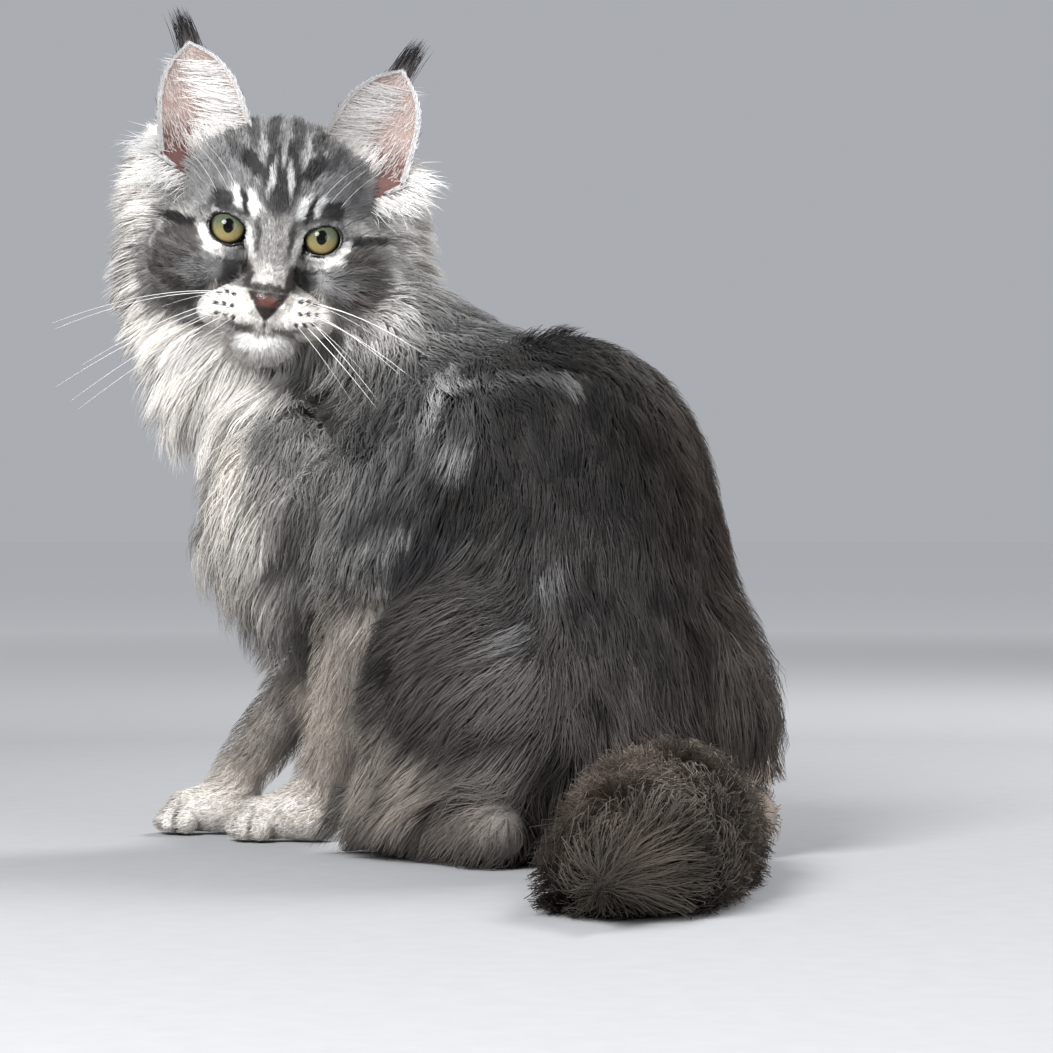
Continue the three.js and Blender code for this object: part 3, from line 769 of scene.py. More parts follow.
# %% [markdown]
# The face carries the old tabby drawing: dark lines from the eyes, light rings round
# them, an M over the brow and white pads round the mouth. The marks are soft ovals on
# one half of the face, and are mirrored to the other. The dark spots, where whiskers
# stand on the pads, come last.

# %% Marks of the face
# across, up, half across, half up, slant, tone, strength: laid on in this order
FACE_MARKS = (
    (40, 32, 22, 20, 0, (0.27, 0.27, 0.275), 0.6),
    (54, -20, 13, 22, 14, (0.070, 0.063, 0.060), 0.88),
    (46, -38, 13, 10, -30, (0.085, 0.077, 0.073), 0.82),
    (34, -23, 17, 10, -8, (0.25, 0.247, 0.25), 0.9),
    (18, -24, 8, 8, 20, (0.24, 0.235, 0.23), 0.8),
    (44, -18, 9, 1.6, 22, (0.075, 0.07, 0.07), 0.7),
    (58, -38, 12, 2.4, 40, (0.36, 0.34, 0.32), 0.65),
    (52, -28, 12, 1.6, 30, (0.20, 0.185, 0.175), 0.7),
    (53, -13, 13, 1.7, 18, (0.26, 0.245, 0.235), 0.7),
    (36, -33, 7, 1.5, 35, (0.14, 0.135, 0.13), 0.6),
    (58, -50, 9, 2.2, 48, (0.10, 0.085, 0.08), 0.7),
    (53, 2, 16, 2.8, 10, (0.022, 0.02, 0.021), 1.0),
    (26, -12.9, 12.5, 4.0, 6, (0.92, 0.91, 0.90), 1.0),
    (38.2, -5.5, 2.5, 7.5, -34, (0.88, 0.87, 0.86), 0.9),
    (13.4, -6, 2.2, 9, -14, (0.88, 0.87, 0.86), 1.0),
    (9.2, -2, 1.7, 11, -6, (0.05, 0.046, 0.046), 0.85),
    (26, 11.2, 13, 2.3, 12, (0.06, 0.056, 0.056), 0.9),
    (14.3, 16.5, 3.2, 8.0, -12, (0.90, 0.90, 0.90), 1.0),
    (18.9, 16, 1.9, 8, -14, (0.028, 0.026, 0.028), 1.0),
    (23.6, 18, 2.9, 6.5, -16, (0.80, 0.80, 0.80), 0.95),
    (31, 17, 6.5, 5.5, 0, (0.040, 0.038, 0.038), 0.9),
    (0, 31, 11, 21, 0, (0.040, 0.038, 0.039), 0.94),
    (5.2, 31, 1.8, 10, 7, (0.60, 0.60, 0.60), 0.95),
    (0, 46, 1.6, 8, 0, (0.50, 0.50, 0.50), 0.85),
    (17.5, 38, 10, 4.6, 50, (0.034, 0.032, 0.034), 0.95),
    (12.5, 47, 2.2, 8, -8, (0.52, 0.52, 0.52), 0.85),
    (28, 44, 8, 3.0, 60, (0.06, 0.058, 0.06), 0.7),
    (7, 60, 3.4, 14, 0, (0.060, 0.057, 0.059), 0.85),
    (19, 59, 3.6, 12, -12, (0.075, 0.072, 0.073), 0.75),
    (0, 67, 2.2, 12, 0, (0.34, 0.34, 0.34), 0.7),
    (0, -12, 7.5, 17, 0, (0.36, 0.35, 0.34), 0.8),
    (0, -23, 8, 6.5, 0, (0.62, 0.60, 0.57), 0.85),
    (12.4, -24, 3.4, 7.5, -8, (0.06, 0.053, 0.05), 0.88),
    (19.5, -43, 18, 11.5, 0, (0.92, 0.895, 0.855), 1.0),
    (11, -36, 4, 3, 0, (0.50, 0.45, 0.40), 0.6),
    (13, -53.2, 11, 1.8, 10, (0.15, 0.14, 0.13), 0.8),
    (0, -62, 16, 7, 0, (0.92, 0.91, 0.89), 0.9),
    (0, -56.0, 8, 1.8, 0, (0.16, 0.145, 0.135), 0.6),
    (0, -50.5, 0.9, 5.0, 0, (0.07, 0.055, 0.050), 0.85),
    (0, -30.5, 14.0, 2.4, 0, (0.04, 0.035, 0.032), 0.95),
)
WHISKER_ROOTS = [(26.5, -36), (22.5, -35), (18.5, -35.5), (28, -41.5), (23.5, -41.5), (18.8, -42),
                 (27, -47), (22.3, -48), (17.5, -48.5)]
SPOT = (0.030, 0.026, 0.025)
print(len(FACE_MARKS), "marks and", len(WHISKER_ROOTS), "spots on each half of the face")

# %% [markdown]
# On the body the pattern is faint. Soft strokes follow what can be seen: silver where the
# coat parts on the shoulder and the flank, painted shade in the fold before the thigh,
# sandy on the foot, and the broken bars of a foreleg.

# %% Strokes on the body
# start, end, radius, softness, tone, strength: laid on in this order
BODY_MARKS = (
    ((62, -84, 212), (58, -60, 236), 30, 26, (0.13, 0.13, 0.13), 0.7),
    ((72, -150, 258), (52, -110, 262), 14, 22, (0.15, 0.145, 0.14), 0.85),
    ((83, -121, 191), (84, -150, 215), 16, 22, (0.20, 0.19, 0.185), 0.7),
    ((73, -116, 88), (60, -125, 55), 22, 26, (0.46, 0.41, 0.36), 0.8),
    ((88, -70, 50), (101, -3, 22), 12, 24, (0.36, 0.32, 0.28), 0.75),
    ((101, -3, 22), (87, 50, 4), 12, 20, (0.22, 0.19, 0.17), 0.5),
    ((74, 34, 22), (68, -14, 20), 22, 14, (0.12, 0.106, 0.096), 0.7),
    ((70, -94, 176), (68, -19, 169), 4, 9, (0.045, 0.045, 0.05), 0.7),
    ((66, -85, 152), (66, -45, 158), 3, 8, (0.05, 0.05, 0.055), 0.6),
    ((65, -95, 166), (66, -60, 168), 2, 6, (0.42, 0.41, 0.40), 0.6),
    ((56, -52, 229), (46, -56, 249), 3, 7, (0.42, 0.42, 0.42), 0.85),
    ((46, -56, 249), (38, -38, 256), 3, 7, (0.36, 0.36, 0.36), 0.8),
    ((38, -38, 256), (9, 9, 256), 3, 8, (0.44, 0.44, 0.44), 0.85),
    ((59, -34, 214), (58, -26, 210), 4, 8, (0.32, 0.32, 0.32), 0.8),
    ((80, 26, 110), (76, 44, 118), 4, 8, (0.30, 0.30, 0.30), 0.7),
    ((52, 34, 138), (47, 40, 150), 3, 8, (0.27, 0.27, 0.27), 0.5),
    ((-76, 92, 14), (-72, 60, 12), 16, 18, (0.66, 0.53, 0.43), 0.9),
    ((45, -200, 74), (46, -206, 66), 6, 6, (0.10, 0.09, 0.085), 0.8),
    ((44, -188, 92), (40, -192, 96), 6, 7, (0.12, 0.11, 0.10), 0.8),
    ((38, -206, 56), (46, -212, 52), 4, 6, (0.14, 0.12, 0.11), 0.7),
    ((50, -140, 92), (56, -132, 96), 4, 7, (0.24, 0.21, 0.19), 0.5),
)
print(len(BODY_MARKS), "strokes on the body")

# %% [markdown]
# Nature has no hard edge and no even edge. A soft step fades from nothing to all, and
# a ripple bends what would be straight. Sums of sines are enough for that, and unlike
# a noise texture they give the same number to an array of places at once.


# %% Soft steps and ripples
def soft_step(low, high, x):
    t = np.clip((x - low) / (high - low), 0, 1)
    return t * t * (3 - 2 * t)


def ripple(p, size, seed=0.0):
    """Smooth, uneven waves between -1 and 1, of about this size."""
    u = p * (2 * math.pi / size)
    x, y, z = u[..., 0], u[..., 1], u[..., 2]
    a = np.sin(x + 1.7 * np.sin(0.6 * y + seed) + seed) * np.cos(0.8 * z + 1.3 * np.sin(0.7 * x - seed))
    b = np.sin(0.9 * y - 0.7 * z + 2.1 * seed) * np.cos(0.7 * x + 0.5 * y + 1.1 * np.sin(0.9 * z))
    return (a + b) / 1.6


print("half way up a soft step:", soft_step(0, 1, 0.5), "and a ripple:", ripple(EYES, 40).round(2))

# %% [markdown]
# A place between two masses has a coat between their two sorts. The nearer a mass is,
# the more it has to say, and its share falls off within a few millimetres.

# %% Which sort of coat is here
SHARE_FADE = 8.0


def shares(p):
    """How much each mass has to say at each place, and which one is nearest."""
    d = np.stack([mass_distance(m, p) for m in masses], -1)
    w = np.exp(-(d - d.min(-1, keepdims=True)) / SHARE_FADE)
    return w / w.sum(-1, keepdims=True), d.argmin(-1)


KINDS = list(COATS)
KIND_OF = np.array([KINDS.index(m["coat"]) for m in masses])


def kinds(p):
    weight, nearest = shares(p)
    by_kind = np.stack([weight[:, KIND_OF == k].sum(1) for k in range(len(KINDS))], 1)
    return by_kind, KIND_OF[nearest]


over_withers = np.array([[-12.0, -98.0, 282.0]]) + SHIFT
print("over the withers the coat is", KINDS[kinds(over_withers)[1][0]])

# %% [markdown]
# A mark is laid on by how far a place is from the oval's middle, counted in its two half
# sizes. Its edge is a soft step, wider for a bigger mark, and the ripples make it
# uneven. The drawing fades out behind the cheeks.


# %% Paint the face
def cover(tone, amount, colour):
    """Lay a colour over a tone, from nothing to all of it."""
    return tone + amount[:, None] * (np.array(colour) - tone)


def painted(q, tone, strength_of=1.0):
    """Lay the face's drawing over a tone; q is in the head's frame."""
    front = soft_step(-62, -38, q[:, 1]) * (np.abs(q[:, 0]) < 80) * strength_of
    across = np.abs(q[:, 0]) + 1.1 * ripple(q, 13, 1.0)
    up = q[:, 2] + 1.1 * ripple(q, 10, 2.0)
    for a, c, wide, high, slant, colour, strength in FACE_MARKS:
        cosine, sine = math.cos(math.radians(slant)), math.sin(math.radians(slant))
        x, y = across - a, up - c
        if a == 0:
            x = q[:, 0]
        u = (x * cosine + y * sine) / wide
        v = (y * cosine - x * sine) / high
        edge = (1.2 + 0.22 * min(wide, high)) / min(wide, high)
        amount = soft_step(1 + edge / 2, 1 - edge / 2, np.sqrt(u * u + v * v)) * strength * front
        tone = cover(tone, amount, colour)
    for a, c in WHISKER_ROOTS:
        r = np.hypot(np.abs(q[:, 0]) - a, q[:, 2] - c)
        tone = cover(tone, soft_step(1.8, 0.9, r) * front, SPOT)
    return tone


brow = painted(np.array([[19.0, 10.0, 16.0]]), np.ones((1, 3)))
print("the dark line over an eye has the tone", brow.round(3)[0])

# %% [markdown]
# On the body some tones change from place to place within one sort of coat. The upper
# foreleg is darker, and the far leg, which stands in shade, is painted darker as that
# shade. The cream bib ends in a slanting edge, and the chest beyond it is grey. Beside
# the face the neck is as white as the ruff. The back is darkest along the spine and has
# a rusty tinge on its far side. Each hair has a lot, its own chance, which makes it
# lighter or darker than its neighbours.


# %% Tones that change over the body
def varied(colour, lot, least, more):
    return np.array(colour) * (least + more * lot[:, None])


def share_of(by_kind, weights):
    return by_kind @ np.array([weights.get(k, 0.0) for k in KINDS])


def leg_tones(under, tip, by_kind, body, lot):
    foreleg = by_kind[:, KINDS.index("foreleg")]
    upper = (foreleg * soft_step(75, 120, body[:, 2]))[:, None]
    under, tip = under * (1 - 0.3 * upper), tip * (1 - 0.5 * upper)
    # painted shade: the far foreleg is darker all the way down
    far = foreleg * soft_step(-192, -204, body[:, 1] + 0.35 * (body[:, 2] - 60))
    far = far * soft_step(30, 50, body[:, 2])
    tip = cover(tip, 0.85 * far, varied((0.17, 0.150, 0.135), lot, 0.5, 1.0))
    return cover(under, 0.7 * far, (0.22, 0.20, 0.18)), tip


def chest_tones(under, tip, by_kind, body, lot):
    toward_shoulder = (body[:, 0] - 54) * -0.77 + (body[:, 1] + 176) * 0.64 + 5 * ripple(body, 40, 2.5)
    edge_of_bib = -28 + 0.63 * (222 - body[:, 2])
    grey = share_of(by_kind, {"bib": 1.0, "chest": 0.8}) * soft_step(-13, 13, toward_shoulder - edge_of_bib)
    tip = cover(tip, grey, varied((0.17, 0.168, 0.168), lot, 0.35, 1.4))
    return cover(under, grey, (0.32, 0.315, 0.31)), tip


def neck_tones(under, tip, by_kind, body, q, lot):
    beside = share_of(by_kind, {"neck": 1.0, "chest": 1.0, "shoulder": 1.0})
    beside = beside * soft_step(-112, -72, q[:, 1]) * soft_step(262, 292, body[:, 2])
    beside = beside * soft_step(88, 66, np.abs(q[:, 0]))
    tip = cover(tip, beside, varied((0.80, 0.78, 0.76), lot, 0.8, 0.3))
    return cover(under, beside, (0.80, 0.78, 0.75)), tip


def back_tones(tip, by_kind, body, lot):
    dark = share_of(by_kind, {"back": 1.0, "flank": 1.0, "haunch": 1.0})
    spine = np.exp(-((body[:, 0] + 24) / 30) ** 2) * soft_step(120, 240, body[:, 2]) * dark
    tip = tip * (1 - 0.45 * spine[:, None])
    rust = soft_step(10, -80, body[:, 0]) * soft_step(-60, 40, body[:, 1]) * dark
    return cover(tip, 0.5 * rust, varied((0.105, 0.078, 0.060), lot, 0.6, 0.9))


def tail_tones(tip, by_kind, body):
    to_tip = np.linalg.norm(body - (*TAIL_TIP, 30), axis=1)
    end = by_kind[:, KINDS.index("tail")] * soft_step(120, 30, to_tip)
    return tip * (1 - 0.5 * end[:, None])


greys = varied((0.2, 0.2, 0.2), np.array([0.0, 1.0]), 0.8, 0.3)[:, 0]
print("a grey of 0.2 runs, with the lot, from", greys[0].round(2), "to", greys[1].round(2))

# %% [markdown]
# The strokes are laid on like the marks of the face, but along a line in space. Between
# the toes, where a hair of a few millimetres can't show a gap, the shade of the gap is
# painted dark instead, low on the foot.


# %% Strokes and toes
def stroke_tones(tip, body, q, lot):
    sway = np.stack([ripple(body, 31, 1.0), ripple(body, 27, 2.0), ripple(body, 35, 4.0)], 1)
    place = body + sway * 3.5
    away_from_head = np.maximum(soft_step(-50, -75, q[:, 1]), soft_step(262, 245, body[:, 2]))
    for start, end, radius, soft, colour, strength in BODY_MARKS:
        d = line_distance(place, np.array(start, float), np.array(end, float), (radius, radius))
        amount = soft_step(1.15 * soft, 0, d) * strength * away_from_head * (0.75 + 0.5 * lot)
        tip = cover(tip, np.minimum(amount, 1), varied(colour, lot, 0.75, 0.5))
    return tip


def toe_gap_shade(p):
    """Painted shade: one where two toes meet near the floor, and nothing on the round of a toe."""
    reach = np.sort(np.stack([line_distance(p, a, b, TOE_RADII) for a, b in TOES], 1), 1)
    gap = np.exp(-((reach[:, 1] - reach[:, 0]) / 1.3) ** 2) * soft_step(6, 1, reach[:, 0])
    return gap * soft_step(23, 13, p[:, 2])


between = (TOES[0][1] + TOES[1][1])[None] / 2
print("between two toes the gap is", toe_gap_shade(between).round(2)[0])

# %% [markdown]
# The rule for any place puts all of it together, in the order in which a painter would
# work: ground tones, large changes, strokes, and the face last.


# %% The tone of any place
def coat_tones(p, by_kind, lot):
    """Tones under the coat and at the tips, for places seen at p; lot is each hair's chance."""
    under, first, second = (by_kind @ np.array([TONES[k][i] for k in KINDS]) for i in (0, 1, 2))
    share = by_kind @ np.array([TONES[k][3] for k in KINDS])
    lot = lot + 0.16 * ripple(p, 46, 3.0)
    pick = soft_step(1 - share + 0.22, 1 - share - 0.22, 1 - lot)[:, None]
    tip = first + (second - first) * pick
    body, q = p - SHIFT, in_head(p)
    under, tip = leg_tones(under, tip, by_kind, body, lot)
    under, tip = chest_tones(under, tip, by_kind, body, lot)
    tip = tail_tones(tip, by_kind, body)
    under, tip = neck_tones(under, tip, by_kind, body, q, lot)
    tip = back_tones(tip, by_kind, body, lot)
    tip = stroke_tones(tip, body, q, lot)
    # painted shade in the gaps between the toes, low on the foot
    low_down = np.flatnonzero(p[:, 2] < 26)
    if len(low_down):
        shadow = (1 - 0.78 * toe_gap_shade(p[low_down]))[:, None]
        tip[low_down] *= shadow
        under[low_down] *= shadow
    return painted(q, under, 0.85), painted(q, tip)


under, tip = coat_tones(over_withers, kinds(over_withers)[0], np.array([0.5]))
print("over the withers the roots are", under.round(3)[0], "and the tips", tip.round(3)[0])

# %% [markdown]
# A surface that will be baked into pictures needs an unwrap, a flat layout of its own
# shape. It could be cut by hand along hidden seams. Smart projection is enough for a
# skin that the coat covers. It is laid out now, since every hair takes its place on
# the layout from the skin under its root.

# %% Skin: unwrap
bpy.context.view_layer.objects.active = skin
skin.select_set(True)
skin_mesh.uv_layers.new(name="OFBake")
bpy.ops.object.mode_set(mode="EDIT")
bpy.ops.mesh.select_all(action="SELECT")
bpy.ops.uv.smart_project(angle_limit=math.radians(70), island_margin=0.001)
bpy.ops.object.mode_set(mode="OBJECT")
print("unwrap with", len(skin_mesh.uv_layers["OFBake"].data), "corners")

# %% [markdown]
# The skin carries the markings too, a little darker, so that where hairs part, what
# shows between them is right. The rims of the lids, the leather of the nose and the
# lip line are bare, dark and a little wet. The distances that shaped them find them again.


# %% Skin: colour
def rim_distance(s, q):
    """How far a place on the lids is from the edge of their opening."""
    off_the_lids = np.abs(from_eye(s, q) - EYE_RADIUS - LID / 2) > 3.0
    return np.abs(eye_opening(s, q)) + 50 * off_the_lids


body_points = all_points[:n_body]
by_kind, _ = kinds(body_points)
under, tip = coat_tones(body_points, by_kind, np.full(n_body, 0.5))
bare = 0.55 * under + 0.25 * tip
q = in_head(body_points)
leather = nose_distance(q)
rim = np.min([rim_distance(s, q) for s in (1, -1)], 0)
lips = [(np.array(a, float) * (s, 1, 1), np.array(b, float) * (s, 1, 1))
        for s in (1, -1) for a, b in zip(MOUTH, MOUTH[1:])]
slit = np.min([line_distance(q, a, b, (0, 0)) for a, b in lips], 0)

LIP, LID_RIM = (0.05, 0.035, 0.03), (0.012, 0.009, 0.009)
LEATHER, BRICK = (0.022, 0.014, 0.013), (0.090, 0.030, 0.022)
bare = cover(bare, soft_step(3.2, 1.0, slit) * 0.9, LIP)
bare = cover(bare, soft_step(2.5, 1.7, rim), LID_RIM)
inside_eye = np.min([np.where(q[:, 1] > -EYE_SETBACK, eye_opening(s, q), 9) for s in (1, -1)], 0) < 0.3
bare = cover(bare, inside_eye.astype(float), LID_RIM)
bare = cover(bare, soft_step(1.0, -0.6, leather), LEATHER)
middle_of_nose = np.sqrt((q[:, 0] / 6.4) ** 2 + ((q[:, 2] + 37.6) / 3.4) ** 2)
bare = cover(bare, soft_step(1.2, 0.6, middle_of_nose) * (leather < 0) * 0.9, BRICK)
wet = np.maximum(soft_step(0.8, -0.6, leather), soft_step(2.4, 1.0, rim))
print("bare skin: leather corners", int((leather < 0).sum()), "rim corners", int((rim < 1.5).sum()))

# %% [markdown]
# The inside of an ear is thin and pink, and near its base, deep in the hollow, it is
# painted dark brown as shade. Its places are told by the ear's own directions, and only
# the sheet that faces forward is pink. The wetness is kept beside the colour, in the
# fourth channel.

# %% Ears: colour
EAR_PINK, EAR_HOLLOW_SHADE, EAR_BACK = (0.30, 0.215, 0.19), (0.085, 0.030, 0.025), (0.10, 0.095, 0.095)
ear_q = in_head(all_points[n_body:])
axis, across, _ = ear_axes()
ear_rel = np.concatenate([np.abs(ear_q[:, :1]), ear_q[:, 1:]], 1) - EAR_BASE
ear_t = ear_rel @ axis / np.linalg.norm(EAR_TIP - EAR_BASE)
ear_u = ear_rel @ across / EAR_HALF_WIDTH
n_sheet = EAR_RINGS * EAR_ACROSS
front_side = (np.arange(len(ear_q)) % (2 * n_sheet)) < n_sheet
pink = np.broadcast_to(np.array(EAR_PINK), (len(ear_q), 3))
# painted shade deep in the ear's hollow, toward its base
deep = soft_step(0.50, 0.18, ear_t) * soft_step(-0.7, 0.0, ear_u)
ear_tone = np.where(front_side[:, None], cover(pink, deep * 0.92, EAR_HOLLOW_SHADE), EAR_BACK)
skin_tone = np.concatenate([bare, ear_tone])
wet = np.concatenate([wet, np.zeros(len(ear_q))])
layer = skin_mesh.attributes.new("tone", "FLOAT_COLOR", "POINT")
layer.data.foreach_set("color", np.concatenate([skin_tone, wet[:, None]], 1).astype(np.float32).ravel())
print("skin coloured at", len(skin_tone), "corners, of which", len(ear_tone), "on the ears")

# %% [markdown]
# A material reads the colour that was kept at each corner. Bare skin is never even, so
# fine noise breaks its colour, and the leather of the nose has a grain of tiny pebbles
# that catches the light as bump. Wet places are smoother than dry ones.


# %% Nodes of a material
def nodes_of(name):
    mat = bpy.data.materials.new(name)
    mat.use_nodes = True
    tree = mat.node_tree
    return mat, tree, tree.nodes["Principled BSDF"]


def put(tree, socket, value):
    """Link a socket to another node's output, or else set its value."""
    if hasattr(value, "is_output"):
        tree.links.new(value, socket)
    else:
        socket.default_value = value


def plug(tree, node, **sockets):
    for name, value in sockets.items():
        put(tree, node.inputs[name.replace("_", " ")], value)
    return node


def linked(tree, kind, **sockets):
    return plug(tree, tree.nodes.new(kind), **sockets)


def mixed(tree, amount, a, b, blend="MIX"):
    node = tree.nodes.new("ShaderNodeMix")
    node.data_type, node.blend_type = "RGBA", blend
    for i, value in ((0, amount), (6, a), (7, b)):
        put(tree, node.inputs[i], value)
    return node.outputs[2]


def tone_of(tree, name="tone"):
    node = tree.nodes.new("ShaderNodeAttribute")
    node.attribute_name = name
    return node


def grain(tree, scale, detail):
    place = tree.nodes.new("ShaderNodeTexCoord").outputs["Object"]
    return linked(tree, "ShaderNodeTexNoise", Vector=place, Scale=scale, Detail=detail).outputs["Fac"]


def ranged(tree, value, span, onto):
    """Map one span of values onto another, and hold its ends."""
    node = linked(tree, "ShaderNodeMapRange", Value=value, From_Min=span[0], From_Max=span[1],
                  To_Min=onto[0], To_Max=onto[1])
    return node.outputs[0]


# %% Skin: material
mat, tree, shader = nodes_of("skin")
tone = tone_of(tree)
shade = ranged(tree, grain(tree, 900.0, 4.0), (0.3, 0.7), (0.75, 1.15))
skin_colour = mixed(tree, 1.0, tone.outputs["Color"], shade, "MULTIPLY")
rough = ranged(tree, tone.outputs["Alpha"], (0.0, 1.0), (0.75, 0.30))
place = tree.nodes.new("ShaderNodeTexCoord").outputs["Object"]
pebbles = linked(tree, "ShaderNodeTexVoronoi", Vector=place, Scale=1300.0)
bump = linked(tree, "ShaderNodeBump", Height=pebbles.outputs["Distance"], Strength=0.35, Distance=0.0004)
plug(tree, shader, Base_Color=skin_colour, Roughness=rough, Normal=bump.outputs[0])
skin_mesh.materials.append(mat)
print("skin material with", len(tree.nodes), "nodes")

# %% [markdown]
# Each eyeball carries its iris as a pattern round the line of sight: a dark ring at the
# rim, fine fibres that run to the pupil, grey green above and straw yellow below, and
# an upright oval pupil. A picture could give this too, but a few nodes stay sharp at
# any size. They read the place round the line of sight, kept at each corner of the
# ball. A clear wet coat over it gives the glint.

# %% Eyes: sizes and tones
GAZE_UP = 1.2                    # the line of sight passes this far over the ball's pole
PUPIL = (2.9, 4.0)               # half its width and half its height
BEHIND = 30                      # moves the pattern's place out of the iris at the back
DARK_RING = (7.9, 9.3)           # where the ring round the iris begins, and where it is full
STRAW, OLIVE = (0.27, 0.205, 0.088), (0.145, 0.135, 0.064)
GREY_GREEN, SLATE = (0.070, 0.082, 0.050), (0.045, 0.056, 0.040)


def maths(tree, operation, *values):
    node = tree.nodes.new("ShaderNodeMath")
    node.operation = operation
    for socket, value in zip(node.inputs, values):
        put(tree, socket, value)
    return node.outputs[0]


def ramp(tree, value, stops):
    node = tree.nodes.new("ShaderNodeValToRGB")
    band = node.color_ramp
    while len(band.elements) < len(stops):
        band.elements.new(0.5)
    for element, (at, colour) in zip(band.elements, stops):
        element.position, element.color = at, (*colour, 1)
    tree.links.new(value, node.inputs[0])
    return node.outputs["Color"]


def radius_of(tree, x, y):
    squares = [maths(tree, "MULTIPLY", value, value) for value in (x, y)]
    return maths(tree, "SQRT", maths(tree, "ADD", *squares))


print("the pupil is", 2 * PUPIL[0], "by", 2 * PUPIL[1], "mm")

# %% Eyes: material
mat, tree, shader = nodes_of("iris")
place = tone_of(tree, "sight").outputs["Vector"]
x, y, _ = linked(tree, "ShaderNodeSeparateXYZ", Vector=place).outputs
reach = radius_of(tree, x, y)
around = maths(tree, "ARCTAN2", y, x)
spokes = linked(tree, "ShaderNodeCombineXYZ", X=maths(tree, "MULTIPLY", around, 5.5),
                Y=maths(tree, "MULTIPLY", reach, 0.28))
fibres = linked(tree, "ShaderNodeTexNoise", Vector=spokes.outputs[0],
                Scale=4.0, Detail=6.0, Roughness=0.65)
flecks = linked(tree, "ShaderNodeTexNoise", Vector=place, Scale=0.5, Detail=3.0)
speckle = maths(tree, "MULTIPLY_ADD", flecks.outputs["Fac"], 0.22, 0.39)
height = maths(tree, "MULTIPLY_ADD", y, 0.055, speckle)
iris = ramp(tree, height, ((0.12, STRAW), (0.40, OLIVE), (0.60, GREY_GREEN), (0.9, SLATE)))
fibre_tone = ranged(tree, fibres.outputs["Fac"], (0.3, 0.7), (0.55, 1.5))
iris = mixed(tree, 1.0, iris, fibre_tone, "MULTIPLY")
iris = mixed(tree, ranged(tree, reach, DARK_RING, (0.0, 1.0)), iris, (0.012, 0.012, 0.008, 1))
across_pupil = maths(tree, "MULTIPLY", x, 1 / PUPIL[0])
up_pupil = maths(tree, "MULTIPLY", y, 1 / PUPIL[1])
hole = ranged(tree, radius_of(tree, across_pupil, up_pupil), (0.96, 1.12), (1.0, 0.0))
iris = mixed(tree, hole, iris, (0.002, 0.002, 0.002, 1))
plug(tree, shader, Base_Color=iris, Roughness=0.5, Specular_IOR_Level=0.0,
     Coat_Weight=0.55, Coat_Roughness=0.02, Coat_IOR=1.38)
print("iris material with", len(tree.nodes), "nodes")

# %% Eyes: the place round the line of sight
for eye, centre in zip(eyes, (eye_left, eye_right)):
    mesh = eye.data
    local = (read(mesh.vertices, "co", 3) / MM - centre) @ HEAD.T
    sight = np.stack([local[:, 0], local[:, 2] - GAZE_UP, local[:, 1]], 1)
    sight[local[:, 1] < 0, 0] += BEHIND
    layer = mesh.attributes.new("sight", "FLOAT_VECTOR", "POINT")
    layer.data.foreach_set("vector", sight.astype(np.float32).ravel())
    mesh.materials.append(mat)
    print(eye.name, "keeps its place at", len(sight), "corners")

# %% [markdown]
# Now the coat. A hair is a thin blade: a strip that starts in the skin, rises to its own
# height and then lies along the form, ending in a point. First it needs a direction to
# lie in. Guide curves could be combed by hand with a brush. Here every mass already has
# a comb of its own, so the combs are mixed by how near each mass is, and kept on a
# coarse lattice that the hairs read as they grow. On the head, hair runs away from the
# nose, and in the ruff it turns outward and down.

# %% The comb
COMB_CELL = 6.0
NOSE_PARTING = np.array([0.0, 42.0, -37.0])
RUFF_MIDDLE = (-34.0, -5.0)      # behind the eyes' plane, and up, where the ruff's hair sets out
RUFF_FALL = np.array([0, 0, 0.45])


def unit(v):
    return v / np.maximum(np.linalg.norm(v, axis=-1, keepdims=True), 1e-6)


def head_comb(p, ruff):
    q = in_head(p)
    away = unit(q - NOSE_PARTING)
    behind, middle = RUFF_MIDDLE
    outward = unit(np.stack([q[:, 0] * 1.2, np.full(len(q), behind), q[:, 2] - middle], 1))
    mix = away + ruff[:, None] * (outward - away)
    return mix @ HEAD - RUFF_FALL * ruff[:, None]


def comb_at(p, up_slope):
    weight, _ = shares(p)
    combs = np.array([m["comb"] for m in masses])
    ridges = np.array([m["ridge"] for m in masses])
    flow = weight @ combs + (weight @ ridges) * np.maximum(up_slope, 0)[:, None]
    is_head = np.array([any(m is h for h in head_masses) for m in masses])
    is_ruff = np.array([m["coat"] == "ruff" for m in masses])
    head_share = weight @ is_head
    ruff = np.clip(weight @ is_ruff / np.maximum(head_share, 1e-6), 0, 1)
    return flow + head_share[:, None] * head_comb(p, ruff)


slopes = np.stack(np.gradient(fine, FINE), -1).astype(np.float32)
comb_axes = lattice_axes(low, high, COMB_CELL)
spots = lattice_points(comb_axes).reshape(-1, 3)
up_slope = unit(look_up(slopes, low, FINE, spots))[:, 2]
combs = comb_at(spots, up_slope).reshape(*(len(a) for a in comb_axes), 3)
print("comb kept at", len(spots), "places,", COMB_CELL, "mm apart")

# %% [markdown]
# Round the eyes a cat's hair is very short and parts like water round a stone. Any part
# of the direction that points at an eye is taken away, and a little more, so that the
# hair turns aside before it reaches the lids.


# %% Part the hair round the eyes
def part_round_eyes(p, along):
    q = in_head(p)
    for s in (1, -1):
        off = q - np.array([s * EYE_ACROSS, 0, 0])
        off[:, 1] = 0
        near = soft_step(24, 13, np.hypot(off[:, 0] * 0.85, off[:, 2])) * (q[:, 1] > -25)
        out = unit(off) @ HEAD
        toward = np.minimum((along * out).sum(1), 0)
        along = along - (near * toward * 1.25)[:, None] * out
    return along


over_eye = on_head(EYE_ACROSS, 0, 12)[None]
print("over an eye, hair combed down turns to", part_round_eyes(over_eye, -HEAD[2:]).round(2)[0])

